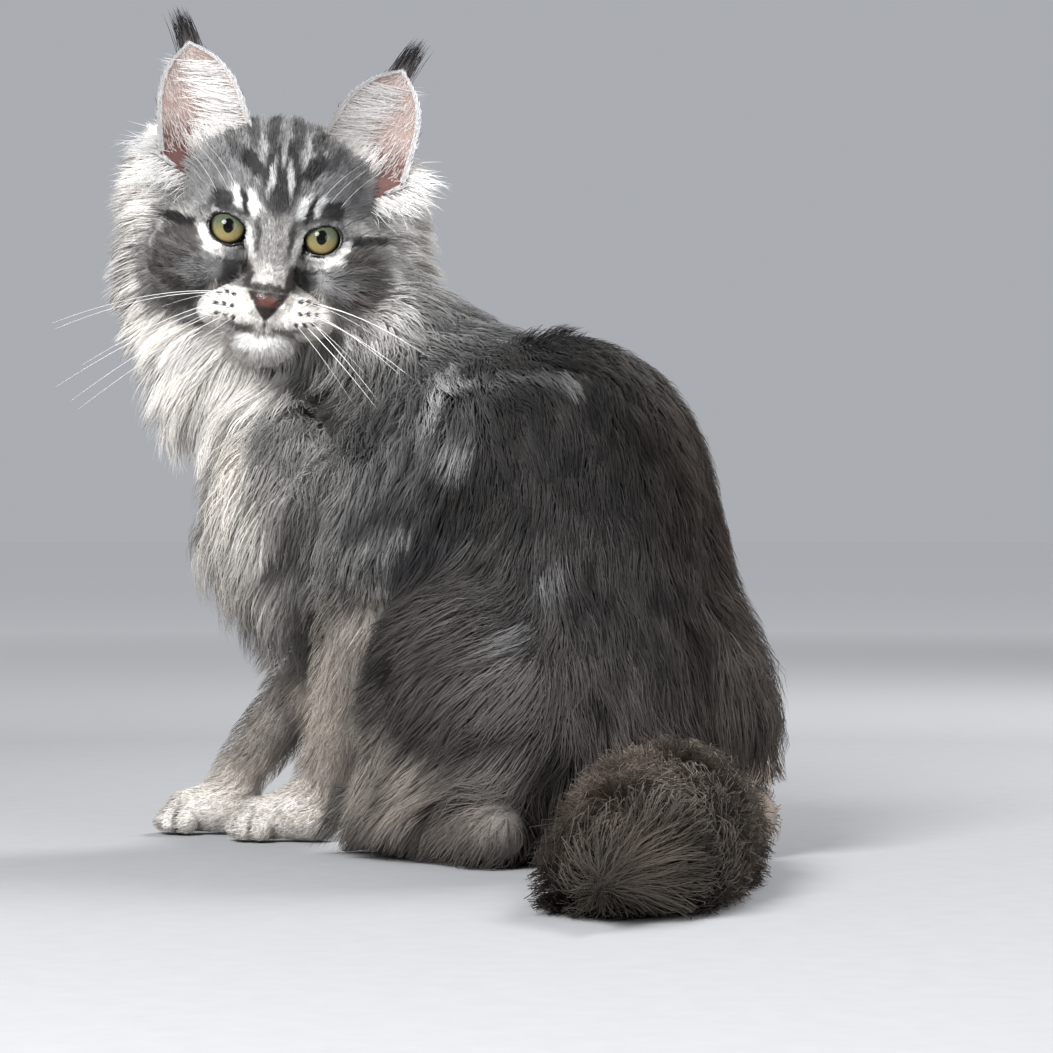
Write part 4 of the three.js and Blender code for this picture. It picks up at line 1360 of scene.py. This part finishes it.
# %% [markdown]
# A hair grows one station at a time. At each station it looks up the comb and the slope
# of the skin, turns along the skin, and climbs or sinks toward the height that it should
# have there. All the hairs of a region take the same step at once, as rows of one
# array. Hair physics could settle them too, but would need many small steps.

# %% Grow hairs along the skin
ROOT_DEPTH = 0.4                 # a hair starts this far under the skin
FLOOR_GAP = 0.8                  # the lowest hairs stay this far over the floor
RISE_CURVE = 2.1                 # the higher, the sooner a hair is at its height
STEEPEST_SINK, STEEPEST_CLIMB = -0.5, 1.4


def grow(roots, normals, length, rise, turn, stations):
    """Lay hairs along the skin, each rising to its own height."""
    path = np.empty((len(roots), stations, 3))
    p = roots - ROOT_DEPTH * normals
    path[:, 0] = p
    on_face = in_head(roots)[:, 1] > -30
    lowest = FLOOR_GAP + 1.5 * (roots[:, 2] * 0.37 % 1)
    for k in range(1, stations):
        s = k / (stations - 1)
        step = (length / (stations - 1))[:, None]
        slope = unit(look_up(slopes, low, FINE, p))
        flow = unit(look_up(combs, low, COMB_CELL, p))
        sinking = np.minimum((flow * slope).sum(1), 0)[:, None]
        flow = flow - (0.15 + 0.75 * (1 - s)) * sinking * slope * 1.1
        rising = np.maximum((flow * slope).sum(1), 0)[:, None]
        flow = flow - 0.5 * rising * slope
        if on_face.any():
            flow[on_face] = part_round_eyes(p[on_face], flow[on_face])
        flow = unit(flow)
        flow = unit(flow + turn[:, None] * np.cross(slope, flow))
        height = look_up(fine, low, FINE, p)
        target = rise * (1 - (1 - s) ** RISE_CURVE)
        lift = np.clip((target - height) / step[:, 0], STEEPEST_SINK, STEEPEST_CLIMB)
        p = p + step * unit(flow + lift[:, None] * slope)
        p[:, 2] = np.maximum(p[:, 2], lowest)
        path[:, k] = p
    return path


print("a hair climbs at most", STEEPEST_CLIMB, "times as fast as it runs")

# %% [markdown]
# Hairs of a long coat hang together in locks. Some hairs are made leaders, and each
# other hair drifts toward the nearest leader on its way to the tip. This is done
# twice, for broad locks and for the fine strands inside them.


# %% Gather hairs into locks
def choose(chance):
    """Pick the leaders, each hair with its own chance."""
    picked = np.flatnonzero(rng.random(len(chance)) < chance)
    return picked if len(picked) > 3 else np.arange(min(4, len(chance)))


def nearest_leader(roots, leaders):
    tree = kdtree.KDTree(len(leaders))
    for i, r in zip(leaders, roots[leaders]):
        tree.insert(r, int(i))
    tree.balance()
    return np.array([tree.find(r)[1] for r in roots])


def gathered(path, leader, strength, power):
    s = np.linspace(0, 1, path.shape[1])[None, :, None]
    lead = path[leader]
    offset = (path[:, :1] - lead[:, :1]) * (1 - 0.8 * s)
    return path + strength[:, None, None] * s ** power * (lead + offset - path)


three = np.array([[0.0, 0, 0], [5.0, 0, 0], [1.0, 0, 0]])
print("of these roots, the last follows hair", nearest_leader(three, np.array([0, 1]))[2])

# %% [markdown]
# Each hair becomes a flat strip of the mesh: pairs of corners down its length, and one
# at the point. A coat has a million triangles, and a mesh tool called once for each
# hair would take hours. Arrays written straight into one mesh take a second.


# %% Strips in one mesh
def blade_triangles(stations):
    return 2 * (stations - 2) + 1


def strip_mesh(name, corners, stations):
    """A mesh of strips, one for each row of corners, and the corners that its loops use."""
    n, per_blade = corners.shape[:2]
    first = (np.arange(n) * per_blade)[:, None]
    quads = np.array([(2 * i, 2 * i + 1, 2 * i + 3, 2 * i + 2) for i in range(stations - 2)])
    point = np.array([per_blade - 3, per_blade - 2, per_blade - 1])
    loops = np.concatenate([(first[:, None] + quads[None]).reshape(n, -1), first + point], 1).ravel()
    sizes = np.tile(np.array([4] * (stations - 2) + [3]), n)
    starts = np.concatenate([[0], np.cumsum(sizes)[:-1]])
    mesh = bpy.data.meshes.new(name)
    mesh.vertices.add(n * per_blade)
    mesh.vertices.foreach_set("co", (corners * MM).astype(np.float32).ravel())
    mesh.loops.add(len(loops))
    mesh.loops.foreach_set("vertex_index", loops.astype(np.int32))
    mesh.polygons.add(len(sizes))
    mesh.polygons.foreach_set("loop_start", starts.astype(np.int32))
    mesh.update(calc_edges=True)
    return mesh, loops


print("triangles in a blade of 4, 5 and 6 stations:", [blade_triangles(k) for k in (4, 5, 6)])

# %% [markdown]
# A blade also needs its looks. It has a tone at every corner, from the pale root to the
# tip, and a small patch of the unwrap at its root's place on the skin. One edge of each
# blade is painted a little lighter and the other darker, as the shading across a round
# hair. Shaded by its own flat side it would glitter, so its normals lean toward the form
# of the body under it, which is how a soft coat takes light as a whole.

# %% Blades of hair
PATCH_LONG, PATCH_HALF_WIDE = 0.003, 0.0013
# painted shading across a round hair: one edge of a blade lighter, the other darker
PAINTED_STRAND_SHADING = 0.22                # the most that one edge of a blade is lighter than the other
OF_THE_FORM = 0.75               # share of the form under a blade in its shading


def blades(name, path, facing, form, width, under, tip, uv, root_share=0.45):
    """One mesh of flat tapering strips along the paths, with tone, unwrap and soft normals."""
    n, k = path.shape[:2]
    side = unit(np.cross(np.gradient(path, axis=1), facing[:, None, :]))
    s = np.linspace(0, 1, k)
    taper = np.interp(s, (0, 0.25, 0.7, 1), (0.75, 1.0, 0.75, 0.0))
    half = (width[:, None] * taper[None, :] / 2)[..., None] * side
    pairs = np.stack([(path - half)[:, :-1], (path + half)[:, :-1]], 2).reshape(n, -1, 3)
    mesh, loops = strip_mesh(name, np.concatenate([pairs, path[:, -1:]], 1), k)

    at = np.append(np.repeat(s[:-1], 2), 1.0)
    station = np.append(np.repeat(np.arange(k - 1), 2), k - 1)
    which_edge = np.append(np.tile([-1.0, 1.0], k - 1), 0.0)
    blend = soft_step(0.05, root_share + 0.35, at)[None, :, None]
    tone = under[:, None] * (1 - blend) + tip[:, None] * blend
    # painted shading across each blade, standing in for the light on a round hair
    edge = which_edge[None, :] * rng.uniform(-PAINTED_STRAND_SHADING, PAINTED_STRAND_SHADING, n)[:, None]
    tone = np.concatenate([tone * (1 + edge[..., None]), np.ones((n, len(at), 1))], 2)
    layer = mesh.attributes.new("tone", "FLOAT_COLOR", "POINT")
    layer.data.foreach_set("color", tone.astype(np.float32).ravel())

    across_patch = np.broadcast_to(PATCH_HALF_WIDE * which_edge, (n, len(at)))
    along_patch = np.broadcast_to((at - 0.5) * PATCH_LONG, (n, len(at)))
    patch = uv[:, None] + np.stack([across_patch, along_patch], 2)
    patch = np.clip(patch, 0.0005, 0.9995).reshape(-1, 2)
    layer = mesh.uv_layers.new(name="OFBake")
    layer.data.foreach_set("uv", patch[loops].astype(np.float32).ravel())

    mesh.shade_smooth()
    across_blade = edge[..., None] * 2.0 * side[:, station]
    shading = OF_THE_FORM * form[:, station] + (1 - OF_THE_FORM) * facing[:, None] + across_blade
    mesh.normals_split_custom_set_from_vertices(unit(shading).reshape(-1, 3).tolist())
    triangles = n * blade_triangles(k)
    print(f"{name}: {n} hairs, {triangles} triangles")
    return placed(name, mesh), triangles


# %% [markdown]
# The roots stand on the triangles of the skin. Their corners, their places on the unwrap,
# their size and the way they face are read out once as arrays.

# %% Triangles of the skin
skin_mesh.calc_loop_triangles()
tris = read(skin_mesh.loop_triangles, "vertices", 3, np.int32)
tri_loops = read(skin_mesh.loop_triangles, "loops", 3, np.int32)
uvs = read(skin_mesh.uv_layers["OFBake"].data, "uv", 2, np.float32)
of_body = (tris < n_body).all(1)
tris, tri_loops = tris[of_body], tri_loops[of_body]
a, b, c = (all_points[tris[:, i]] for i in range(3))
tri_normal = np.cross(b - a, c - a)
tri_area = np.linalg.norm(tri_normal, axis=1) / 2
tri_normal = unit(tri_normal)
middle = (a + b + c) / 3
face_middle = in_head(middle)
tri_kinds, tri_kind = kinds(middle)
print(len(tris), "triangles,", round(tri_area.sum() / 100), "square centimetres of skin")

# %% [markdown]
# Some places stay bare: the eyes and their rims, the leather of the nose, the lip line
# and the flat underside. They could be painted as a mask, but the distances that shaped
# them already say where they are.

# %% Bare places
bald = nose_distance(face_middle) < 0.2
for s in (1, -1):
    on_lids = from_eye(s, face_middle) < EYE_RADIUS + 4
    bald |= on_lids & (eye_opening(s, face_middle) < 1.5)
for start, end in lips:
    bald |= line_distance(face_middle, start, end, (1.3, 1.3)) < 0
under_nose = np.linalg.norm(face_middle - (0, 34, -47), axis=1)
bald |= (middle[:, 2] < 1.2) | (under_nose < 1.5)
print(int(bald.sum()), "bare triangles")

# %% [markdown]
# The table of coats gives the length, height and width of the hair for each sort, and
# near the eyes and the nose all of them shrink smoothly.

# %% Shorter hair round the eyes and the nose
table = np.array([COATS[k] for k in KINDS], float)
tri_length, tri_depth, tri_width, tri_lock = (tri_kinds @ table).T
to_eye = np.min([np.hypot(face_middle[:, 0] - s * EYE_ACROSS, face_middle[:, 2]) for s in (1, -1)], 0)
near_eye = soft_step(26, 10.5, to_eye) * (face_middle[:, 1] > -25)
tri_length = tri_length * (1 - 0.72 * near_eye)
tri_depth = tri_depth * (1 - 0.6 * near_eye)
tri_width = tri_width * (1 - 0.35 * near_eye)
to_nose = np.linalg.norm((face_middle - (0, 32, -38)) / (1.3, 1, 1), axis=1)
near_nose = soft_step(24, 9, to_nose)
tri_length = tri_length * (1 - 0.55 * near_nose)
tri_depth = tri_depth * (1 - 0.55 * near_nose)
print("hair from", tri_length.min().round(1), "to", tri_length.max().round(1), "mm")

# %% [markdown]
# The coat is cut into pieces by region, so that none grows too heavy. Roots are strewn
# by area, closer together where the hair is short and thin, as on a real cat. Geometry
# Nodes can scatter points too, but here each root must also know its triangle, for the
# unwrap and the sort of coat.

# %% Strew the roots
# sorts of coat, number of hairs, stations along each
PIECES = {
    "coat_muzzle": (("bridge", "muzzle", "chin"), 20000, 4),
    "coat_face": (("brow", "cheek"), 22000, 4),
    "coat_head": (("skull", "jaw"), 16500, 4),
    "coat_ruff": (("ruff",), 18500, 6),
    "coat_bib": (("bib", "chest", "neck"), 21000, 6),
    "coat_shoulder": (("shoulder", "arm"), 13000, 5),
    "coat_back": (("back",), 17500, 5),
    "coat_flank": (("flank",), 19000, 5),
    "coat_haunch": (("haunch",), 25500, 5),
    "coat_tail": (("tail",), 14200, 6),
    "coat_legs": (("foreleg", "paw", "hind_foot"), 20000, 4),
}


def of_sorts(tri, names):
    return np.isin(tri_kind[tri], [KINDS.index(n) for n in names])


def strew(names, count):
    """The triangle, root and place on the unwrap of each hair, and the scale of their spacing."""
    chance = tri_area * (of_sorts(slice(None), names) & ~bald) / (tri_length * tri_width)
    spacing = chance.sum() / count
    pick = rng.choice(len(chance), count, p=chance / chance.sum())
    u, v = rng.random(count), rng.random(count)
    flip = u + v > 1
    u[flip], v[flip] = 1 - u[flip], 1 - v[flip]
    w = np.stack([1 - u - v, u, v], 1)[..., None]
    root = (all_points[tris[pick]] * w).sum(1)
    uv = (uvs[tri_loops[pick]] * w).sum(1)
    return pick, root, uv, spacing


print(sum(count for _, count, _ in PIECES.values()), "hairs to grow in", len(PIECES), "pieces")

# %% [markdown]
# A few regions differ from the table. The hair lies close on top of the chest and the
# neck, frays below the chin, hangs long from the thighs and is short on the hind toes.
# On the shoulders and the chest it is wavy, and in the tail it is nearly straight.

# %% Where the coat differs
RIGHT_FOOT_BACK = 36             # the right hind foot stands this much further back
MORE_WAVES = {"shoulder": 1.2, "chest": 0.9, "tail": -0.6}
waves_of_kind = np.array([MORE_WAVES.get(k, 0) for k in KINDS], float)


def only(pick, names, amount):
    return np.where(of_sorts(pick, names), amount, 0)


def fitted(pick, root, length, rise):
    """Length and rise, changed where the coat lies close, frays or hangs."""
    faces_up = tri_normal[pick][:, 2]
    on_chest = only(pick, ("bib", "chest"), soft_step(-0.1, 0.7, faces_up))
    length, rise = length * (1 - 0.35 * on_chest), rise * (1 - 0.6 * on_chest)
    rise = rise * (1 - 0.5 * only(pick, ("neck",), soft_step(-0.2, 0.8, faces_up)))
    below_chin = only(pick, ("ruff",), soft_step(-45, -80, in_head(root)[:, 2]))
    length = length * (1 + below_chin * rng.uniform(-0.25, 0.45, len(pick)))
    length = length * (1 + 0.75 * only(pick, ("haunch",), soft_step(85, 35, root[:, 2])))
    along_foot = root[:, 1] - SHIFT[1] - RIGHT_FOOT_BACK * (root[:, 0] < SHIFT[0])
    on_toes = only(pick, ("hind_foot",), soft_step(-50, -80, along_foot))
    return length * (1 - 0.4 * on_toes), rise * (1 - 0.4 * on_toes)


print("wavier than the rest:", [k for k in MORE_WAVES if MORE_WAVES[k] > 0])

# %% [markdown]
# Now every piece grows. Chance enters in three sizes: each broad lock, each fine strand
# and each hair has a lot of its own, which decides its tone, so that a lock reads as
# one thing and still isn't flat. The tone is taken where the hair is seen, past its
# middle, and not at its root, so that the markings stay where the eye expects them.

# %% Grow the coat
SHORTEST, LONGEST = 0.7, 1.15    # shares of the table's length
STRANDS = 3.2                    # fine strands across a broad lock
SEEN_AT = 0.6                    # share of a hair's stations at which its tone is taken
LOWEST = 0.7                     # no station of a hair lies nearer to the floor
coat, coat_triangles = [], 0
for name, (names, count, stations) in PIECES.items():
    pick, root, uv, spacing = strew(names, count)
    length, depth, width, lock = (x[pick] for x in (tri_length, tri_depth, tri_width, tri_lock))
    normal = tri_normal[pick]
    length = length * rng.uniform(SHORTEST, LONGEST, count)
    rise = depth * (0.45 + 0.65 * rng.random(count) ** 0.6)
    length, rise = fitted(pick, root, length, rise)
    wavy = 1 + tri_kinds[pick] @ waves_of_kind
    waves = 0.22 * ripple(root, 60, 5.0) + 0.15 * ripple(root, 23, 6.0)
    turn = rng.normal(0, 0.10, count) + wavy * waves
    path = grow(root, normal, length, rise, turn, stations)

    area_each = spacing * length * width
    broad = nearest_leader(root, choose(area_each / lock ** 2))
    small = nearest_leader(root, choose(area_each / (lock / STRANDS) ** 2))
    lot = 0.5 * rng.random(count)[broad] + 0.28 * rng.random(count)[small] + 0.22 * rng.random(count)
    path = gathered(path, small, rng.uniform(0.25, 0.85, count), 1.1)
    path = gathered(path, broad, rng.uniform(0.2, 0.7, count), 1.6)
    path[:, 1:] += rng.normal(0, 1, (count, stations - 1, 3)) * (0.012 * length)[:, None, None]
    path[..., 2] = np.maximum(path[..., 2], LOWEST)

    seen, seen_kinds = path[:, int(SEEN_AT * stations)], tri_kinds[pick]
    if len(names) == 1:
        seen_kinds = 0.3 * seen_kinds + 0.7 * np.eye(len(KINDS))[KINDS.index(names[0])]
    under, tip = coat_tones(seen, seen_kinds, lot)
    bright = rng.uniform(0.78, 1.24, count)[broad]
    bright = bright * rng.uniform(0.85, 1.15, count)[small]
    bright = (bright * rng.uniform(0.9, 1.1, count))[:, None]

    run = unit(path[:, -1] - path[:, 0])
    roll = rng.normal(0, 0.55, count)[:, None]
    facing = unit(normal + roll * np.cross(run, normal))
    form = unit(look_up(slopes, low, FINE, path.reshape(-1, 3))).reshape(path.shape)
    side_of_ruff = np.clip((in_head(root)[:, 1] + 64) / 10, -1, 1) * seen_kinds[:, KINDS.index("ruff")]
    form = unit(form + 1.5 * side_of_ruff[:, None, None] * HEAD[1])
    width = width * rng.uniform(0.75, 1.2, count)
    piece, triangles = blades(name, path, facing, form, width, under * bright, tip * bright, uv)
    coat.append(piece)
    coat_triangles += triangles
    print("   from", round(float(path[..., 2].min()), 1), "to", path.reshape(-1, 3).max(0).round(1))

# %% [markdown]
# The ears have hair of their own. It doesn't follow the distance, since the ears aren't
# in the lattice. Each hair sets out one way and bends round to another, both
# told by the ear itself: up the ear, across it to its outer rim, and out of the sheet.

# %% Hair that stands free
axis, across, facing_ear = ear_axes()
EAR_STATIONS = 4


def bent(root, start, end, length, wave):
    """Free hairs that set out one way and bend round to another."""
    n = len(root)
    p, path = root.copy(), np.empty((n, EAR_STATIONS, 3))
    path[:, 0] = p
    for k in range(1, EAR_STATIONS):
        s = (k - 0.5) / (EAR_STATIONS - 1)
        way = unit(start * (1 - s) + end * s + wave * rng.normal(0, 1, (n, 3)))
        p = p + way * (length / (EAR_STATIONS - 1))[:, None]
        path[:, k] = p
    return path


def ear_frame(t, u, layer):
    """Places on the ear with the ways up it, over it and out of it."""
    e = 0.01
    at = np.array([ear_point(tt, uu, layer) for tt, uu in zip(t, u)])
    dt = np.array([ear_point(tt + e, uu, layer) for tt, uu in zip(t, u)]) - at
    du = np.array([ear_point(tt, uu + e, layer) for tt, uu in zip(t, u)]) - at
    out = unit(np.cross(dt, du)) * layer
    return at, unit(dt), unit(du), out * np.sign((out * (layer * facing_ear)).sum(1))[:, None]


ear_sets = []


def ear_set(t, u, layer, start, end, length, width, under, tip, spread=0.12, wave=0.05, straight=False):
    """Add hairs at (t, u) on one layer; start and end are ways up, over and out of the ear."""
    n = len(t)
    at, up_ear, over, out = ear_frame(t, u, layer)
    if straight:
        up_ear, over = np.broadcast_to(axis, at.shape), np.broadcast_to(across, at.shape)
    ways = []
    for amounts in (start, end):
        a, b, c = (np.broadcast_to(amount, n)[:, None] for amount in amounts)
        ways.append(unit(a * up_ear + b * over + c * out + rng.normal(0, spread, (n, 3))))
    path = bent(at - 0.3 * out, *ways, length, wave)
    shade = rng.uniform(0.8, 1.15, (n, 1))
    tones = [np.broadcast_to(tone, (n, 3)) * shade for tone in (under, tip)]
    ear_sets.append((path, out, np.full(n, width), *tones))


print("an ear stands", round(np.linalg.norm(EAR_TIP - EAR_BASE)), "mm from base to tip")

# %% [markdown]
# Seven sets of hair clothe an ear: short dark hair on its back, a pale line round the
# rim, fuzz on the bare pink skin, long white feathers that cross the opening from the
# inner edge, a tuft at the notch, a fringe behind the outer edge, and a dark tuft that
# carries the tip on upward. That tuft is the mark of the breed.

# %% Ears: hair
FRONT, BACK = 1, -1
DOWNY, FEATHER = (0.80, 0.78, 0.76), (0.95, 0.94, 0.93)

n = 3600
t, u = 1 - rng.random(n) ** 0.62 * 1.12, rng.uniform(-1, 1, n)
ear_set(t, u, BACK, (0.9, 0.15 * u, 0.30), (1.0, 0.25 * u, 0.05), rng.uniform(4, 8, n), 0.5,
        (0.30, 0.29, 0.29), (0.17, 0.165, 0.17))
n = 2400
t, u = 1 - rng.random(n) * 1.08, np.sign(rng.uniform(-1, 1, n)) * rng.uniform(0.90, 1.0, n)
rim_side = np.sign(u)
ear_set(t, u, FRONT, (0.9, 0.45 * rim_side, 0.2), (1.0, 0.15 * rim_side, 0.1), rng.uniform(3, 6.5, n), 0.42,
        (0.62, 0.60, 0.59), (0.72, 0.71, 0.71))
n = 1700
t, u = 1 - 0.98 * rng.random(n) ** 0.75 * 0.98, rng.uniform(-0.9, 0.9, n)
ear_set(t, u, FRONT, (0.7, 0.3, 0.25), (0.9, 0.4, 0.0), rng.uniform(3, 7, n), 0.30,
        (0.50, 0.41, 0.38), (0.74, 0.69, 0.67))
n = 620
t, u = rng.uniform(-0.10, 0.84, n), rng.uniform(-1.0, -0.70, n)
feathers = rng.uniform(22, 58, n) * (1 - 0.52 * np.clip(t, 0, 1))
ear_set(t, u, FRONT, (0.25, 0.95, 0.40), (0.55, 0.85, 0.12), feathers, 0.42, DOWNY, FEATHER, 0.14)
n = 380
t, u = rng.uniform(-0.12, 0.06, n), rng.uniform(-0.9, 0.5, n)
ear_set(t, u, FRONT, (0.8, 0.0, 0.7), (0.95, 0.25, 0.1), rng.uniform(12, 26, n), 0.40,
        (0.60, 0.56, 0.54), (0.84, 0.82, 0.80), 0.2)
n = 750
t, u = rng.uniform(-0.22, 0.14, n), rng.uniform(0.3, 1.0, n)
ear_set(t, u, BACK, (0.35, 0.7, 0.6), (-0.1, 0.9, 0.3), rng.uniform(10, 36, n), 0.40,
        DOWNY, (0.94, 0.93, 0.92), 0.22, 0.12)
n = 190
t, u = rng.uniform(0.93, 1.0, n), rng.uniform(-1, 1, n)
ear_set(t, u, BACK, (1.0, -0.12 * u, 0.1), (0.93, 0.30 - 0.06 * u, 0.05), rng.uniform(9, 27, n), 0.40,
        (0.16, 0.15, 0.15), (0.03, 0.028, 0.03), 0.05, 0.035, straight=True)
print(len(ear_sets), "sets with", sum(len(hairs[0]) for hairs in ear_sets), "hairs on each ear")

# %% [markdown]
# The sets were drawn once, for the left ear, and are mirrored for the right one. Each
# hair takes its place on the unwrap from the nearest corner of its own ear.

# %% Hair on both ears
skin_corner_uv = np.zeros((len(all_points), 2))
skin_corner_uv[read(skin_mesh.loops, "vertex_index", 1, np.int32)[:, 0]] = uvs


def uv_on_skin(roots, first, last):
    """The unwrap's place at the skin's nearest corner, among corners first to last."""
    tree = kdtree.KDTree(last - first)
    for i in range(first, last):
        tree.insert(all_points[i], i)
    tree.balance()
    return skin_corner_uv[[tree.find(r)[1] for r in roots]]


ear_corners = 2 * EAR_RINGS * EAR_ACROSS
for s, name, first in ((1, "ear_hair_left", n_body), (-1, "ear_hair_right", n_body + ear_corners)):
    flip = np.array([s, 1, 1.0])
    path, out, width, under, tip = (np.concatenate(x) for x in zip(*ear_sets))
    path, out = (path * flip) @ HEAD + EYES, unit((out * flip) @ HEAD)
    form = np.repeat(out[:, None], path.shape[1], 1)
    uv = uv_on_skin(path[:, 0], first, first + ear_corners)
    piece, triangles = blades(name, path, out, form, width, under, tip, uv, 0.3)
    coat.append(piece)
    coat_triangles += triangles
    print(name, triangles, "triangles")

# %% [markdown]
# A whisker is a stiff, thick hair, set deep in its pad. It could be a curve with a round
# bevel. A thin cone with three sides does the same here with far fewer faces, where a
# single strip would vanish when seen from its edge.


# %% Whiskers: thin cones
def cones(name, paths, radii):
    points, faces, patches, start = [], [], [], 0
    places = uv_on_skin(np.array([path[0] for path in paths]), 0, n_body)
    for path, radius, place in zip(paths, radii, places):
        k = len(path)
        run = unit(np.gradient(path, axis=0))
        a = unit(np.cross(run, HEAD[2]))
        b = np.cross(run, a)
        r = radius * np.linspace(1, 0.12, k) ** 0.8
        for i in range(k):
            for j in range(3):
                turn = 2 * math.pi * j / 3
                points.append(path[i] + r[i] * (math.cos(turn) * a[i] + math.sin(turn) * b[i]))
                patches.append(place + PATCH_LONG * np.array([j / 3 - 0.5, i / k - 0.5]))
        for ring in range(start, start + 3 * (k - 1), 3):
            for j in range(3):
                m = (j + 1) % 3
                faces.append([ring + j, ring + m, ring + 3 + m, ring + 3 + j])
        end = start + 3 * k
        faces += [[start + 2, start + 1, start], [end - 3, end - 2, end - 1]]
        start = end
    mesh = bpy.data.meshes.new(name)
    mesh.from_pydata((np.array(points) * MM).tolist(), [], faces)
    mesh.shade_smooth()
    patches = np.clip(np.array(patches), 0, 1)[read(mesh.loops, "vertex_index", 1, np.int32)[:, 0]]
    mesh.uv_layers.new(name="OFBake").data.foreach_set("uv", patches.astype(np.float32).ravel())
    return placed(name, mesh)


def onto_skin(across, up):
    """The place on the face's skin straight behind this spot of the picture of the face."""
    depth = np.linspace(60, -20, 161)
    line = on_head(0, 0, 0) + np.array([across, 0, up]) @ HEAD + depth[:, None] * HEAD[1]
    inside = np.flatnonzero(skin_distance(line) < 0)
    return line[inside[0]]


print("the tip of the nose is at", onto_skin(0, -36).round(1), "mm")

# %% [markdown]
# The whiskers stand in three rows on each pad, where the dark spots are, and fan out
# from nearly level above to downward below. Three short, fine ones stand over each
# eye. Each follows a straight way plus a fall that grows along it, as a springy hair
# bows under its own weight.

# %% Whiskers
whiskers, thickness = [], []
for s in (1, -1):
    for a, c in WHISKER_ROOTS:
        root = onto_skin(s * a, c)
        is_long = a > 20
        length = (52 + 36 * rng.random()) * (1.0 if is_long else 0.62)
        low_row = (-c - 35) / 13
        way = np.array([s * (0.92 - 0.25 * low_row), 0.45, -0.05 - 0.5 * low_row + 0.06 * rng.normal()])
        fall = np.array([s * 0.55, 0.0, -0.95])
        steps = np.linspace(0, 1, 12)[:, None]
        q = (way / np.linalg.norm(way)) * steps * length + fall * steps ** 2.2 * length * 0.30
        whiskers.append(root + q @ HEAD)
        thickness.append(0.24 if is_long else 0.17)
    for a, c in ((22, 19), (27, 18), (33, 16)):
        root = onto_skin(s * a, c)
        way = unit(np.array([s * 0.45, 0.35, 0.85]))
        fall = np.array([s * 0.5, -0.2, -0.5])
        steps = np.linspace(0, 1, 10)[:, None]
        whiskers.append(root + (way * steps * 42 + fall * steps ** 2 * 14) @ HEAD)
        thickness.append(0.13)
whisker_piece = cones("whiskers", whiskers, thickness)
print(len(whiskers), "whiskers")

# %% [markdown]
# Hair lets light through as well as sending it back, so the coat's material is part
# translucent. A hair shader exists, but it is made for true curves. The colour comes
# from the tone kept at each corner, broken a little by fine noise.

# %% Coat: material
mat, tree, shader = nodes_of("coat")
shade = ranged(tree, grain(tree, 700.0, 3.0), (0.3, 0.7), (0.84, 1.12))
hair_tone = mixed(tree, 1.0, tone_of(tree).outputs["Color"], shade, "MULTIPLY")
plug(tree, shader, Base_Color=hair_tone, Roughness=0.62, Specular_IOR_Level=0.16)
through = linked(tree, "ShaderNodeBsdfTranslucent", Color=hair_tone)
blend = tree.nodes.new("ShaderNodeMixShader")
for socket, value in zip(blend.inputs, (0.38, shader.outputs[0], through.outputs[0])):
    put(tree, socket, value)
tree.links.new(blend.outputs[0], tree.nodes["Material Output"].inputs["Surface"])
for piece in coat:
    piece.data.materials.append(mat)
print("coat material on", len(coat), "pieces")

# %% [markdown]
# A whisker is nearly white, solid and a little glossy, so a plain surface with a trace
# of noise is enough.

# %% Whiskers: material
mat, tree, shader = nodes_of("whisker")
pale = ramp(tree, grain(tree, 260.0, 2.0), ((0.3, (0.80, 0.79, 0.77)), (0.7, (0.93, 0.92, 0.91))))
plug(tree, shader, Base_Color=pale, Roughness=0.35)
whisker_piece.data.materials.append(mat)
print("whisker material with", len(tree.nodes), "nodes")

# %% [markdown]
# The paper is grey under the cat and grows paler with distance. A wide floor of one
# grey would look dark toward its edge, where the lamps don't reach, and this evens it
# out from every side.

# %% Floor: material
mat, tree, shader = nodes_of("paper")
pale = ramp(tree, grain(tree, 60.0, 5.0), ((0.3, (0.30, 0.305, 0.315)), (0.7, (0.315, 0.32, 0.33))))
place = tree.nodes.new("ShaderNodeTexCoord").outputs["Object"]
reach = linked(tree, "ShaderNodeVectorMath", Vector=place)
reach.operation = "LENGTH"
far = ranged(tree, reach.outputs["Value"], (1.2, 4.5), (0.0, 1.0))
pale = mixed(tree, far, pale, (0.97, 0.97, 0.97, 1))
plug(tree, shader, Base_Color=pale, Roughness=0.8, Specular_IOR_Level=0.2)
floor.data.materials.append(mat)
print("paper material with", len(tree.nodes), "nodes")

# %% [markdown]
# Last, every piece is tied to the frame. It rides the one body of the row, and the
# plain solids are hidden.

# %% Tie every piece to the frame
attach(skin, "root")
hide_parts(*[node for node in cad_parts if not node.startswith("eye_")])
for eye, node in zip(eyes, ("eye_left", "eye_right")):
    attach(eye, "root")
    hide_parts(node)
for piece in coat + [whisker_piece]:
    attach(piece, "root")
print(len(coat), "coat pieces with", coat_triangles, "triangles")

# %% [markdown]
# The size of the plain solids is printed at the end.

# %% Measure
bpy.context.scene.view_settings.view_transform = "Standard"
print("frame box", [tuple(round(x, 4) for x in c) for c in cad_box])
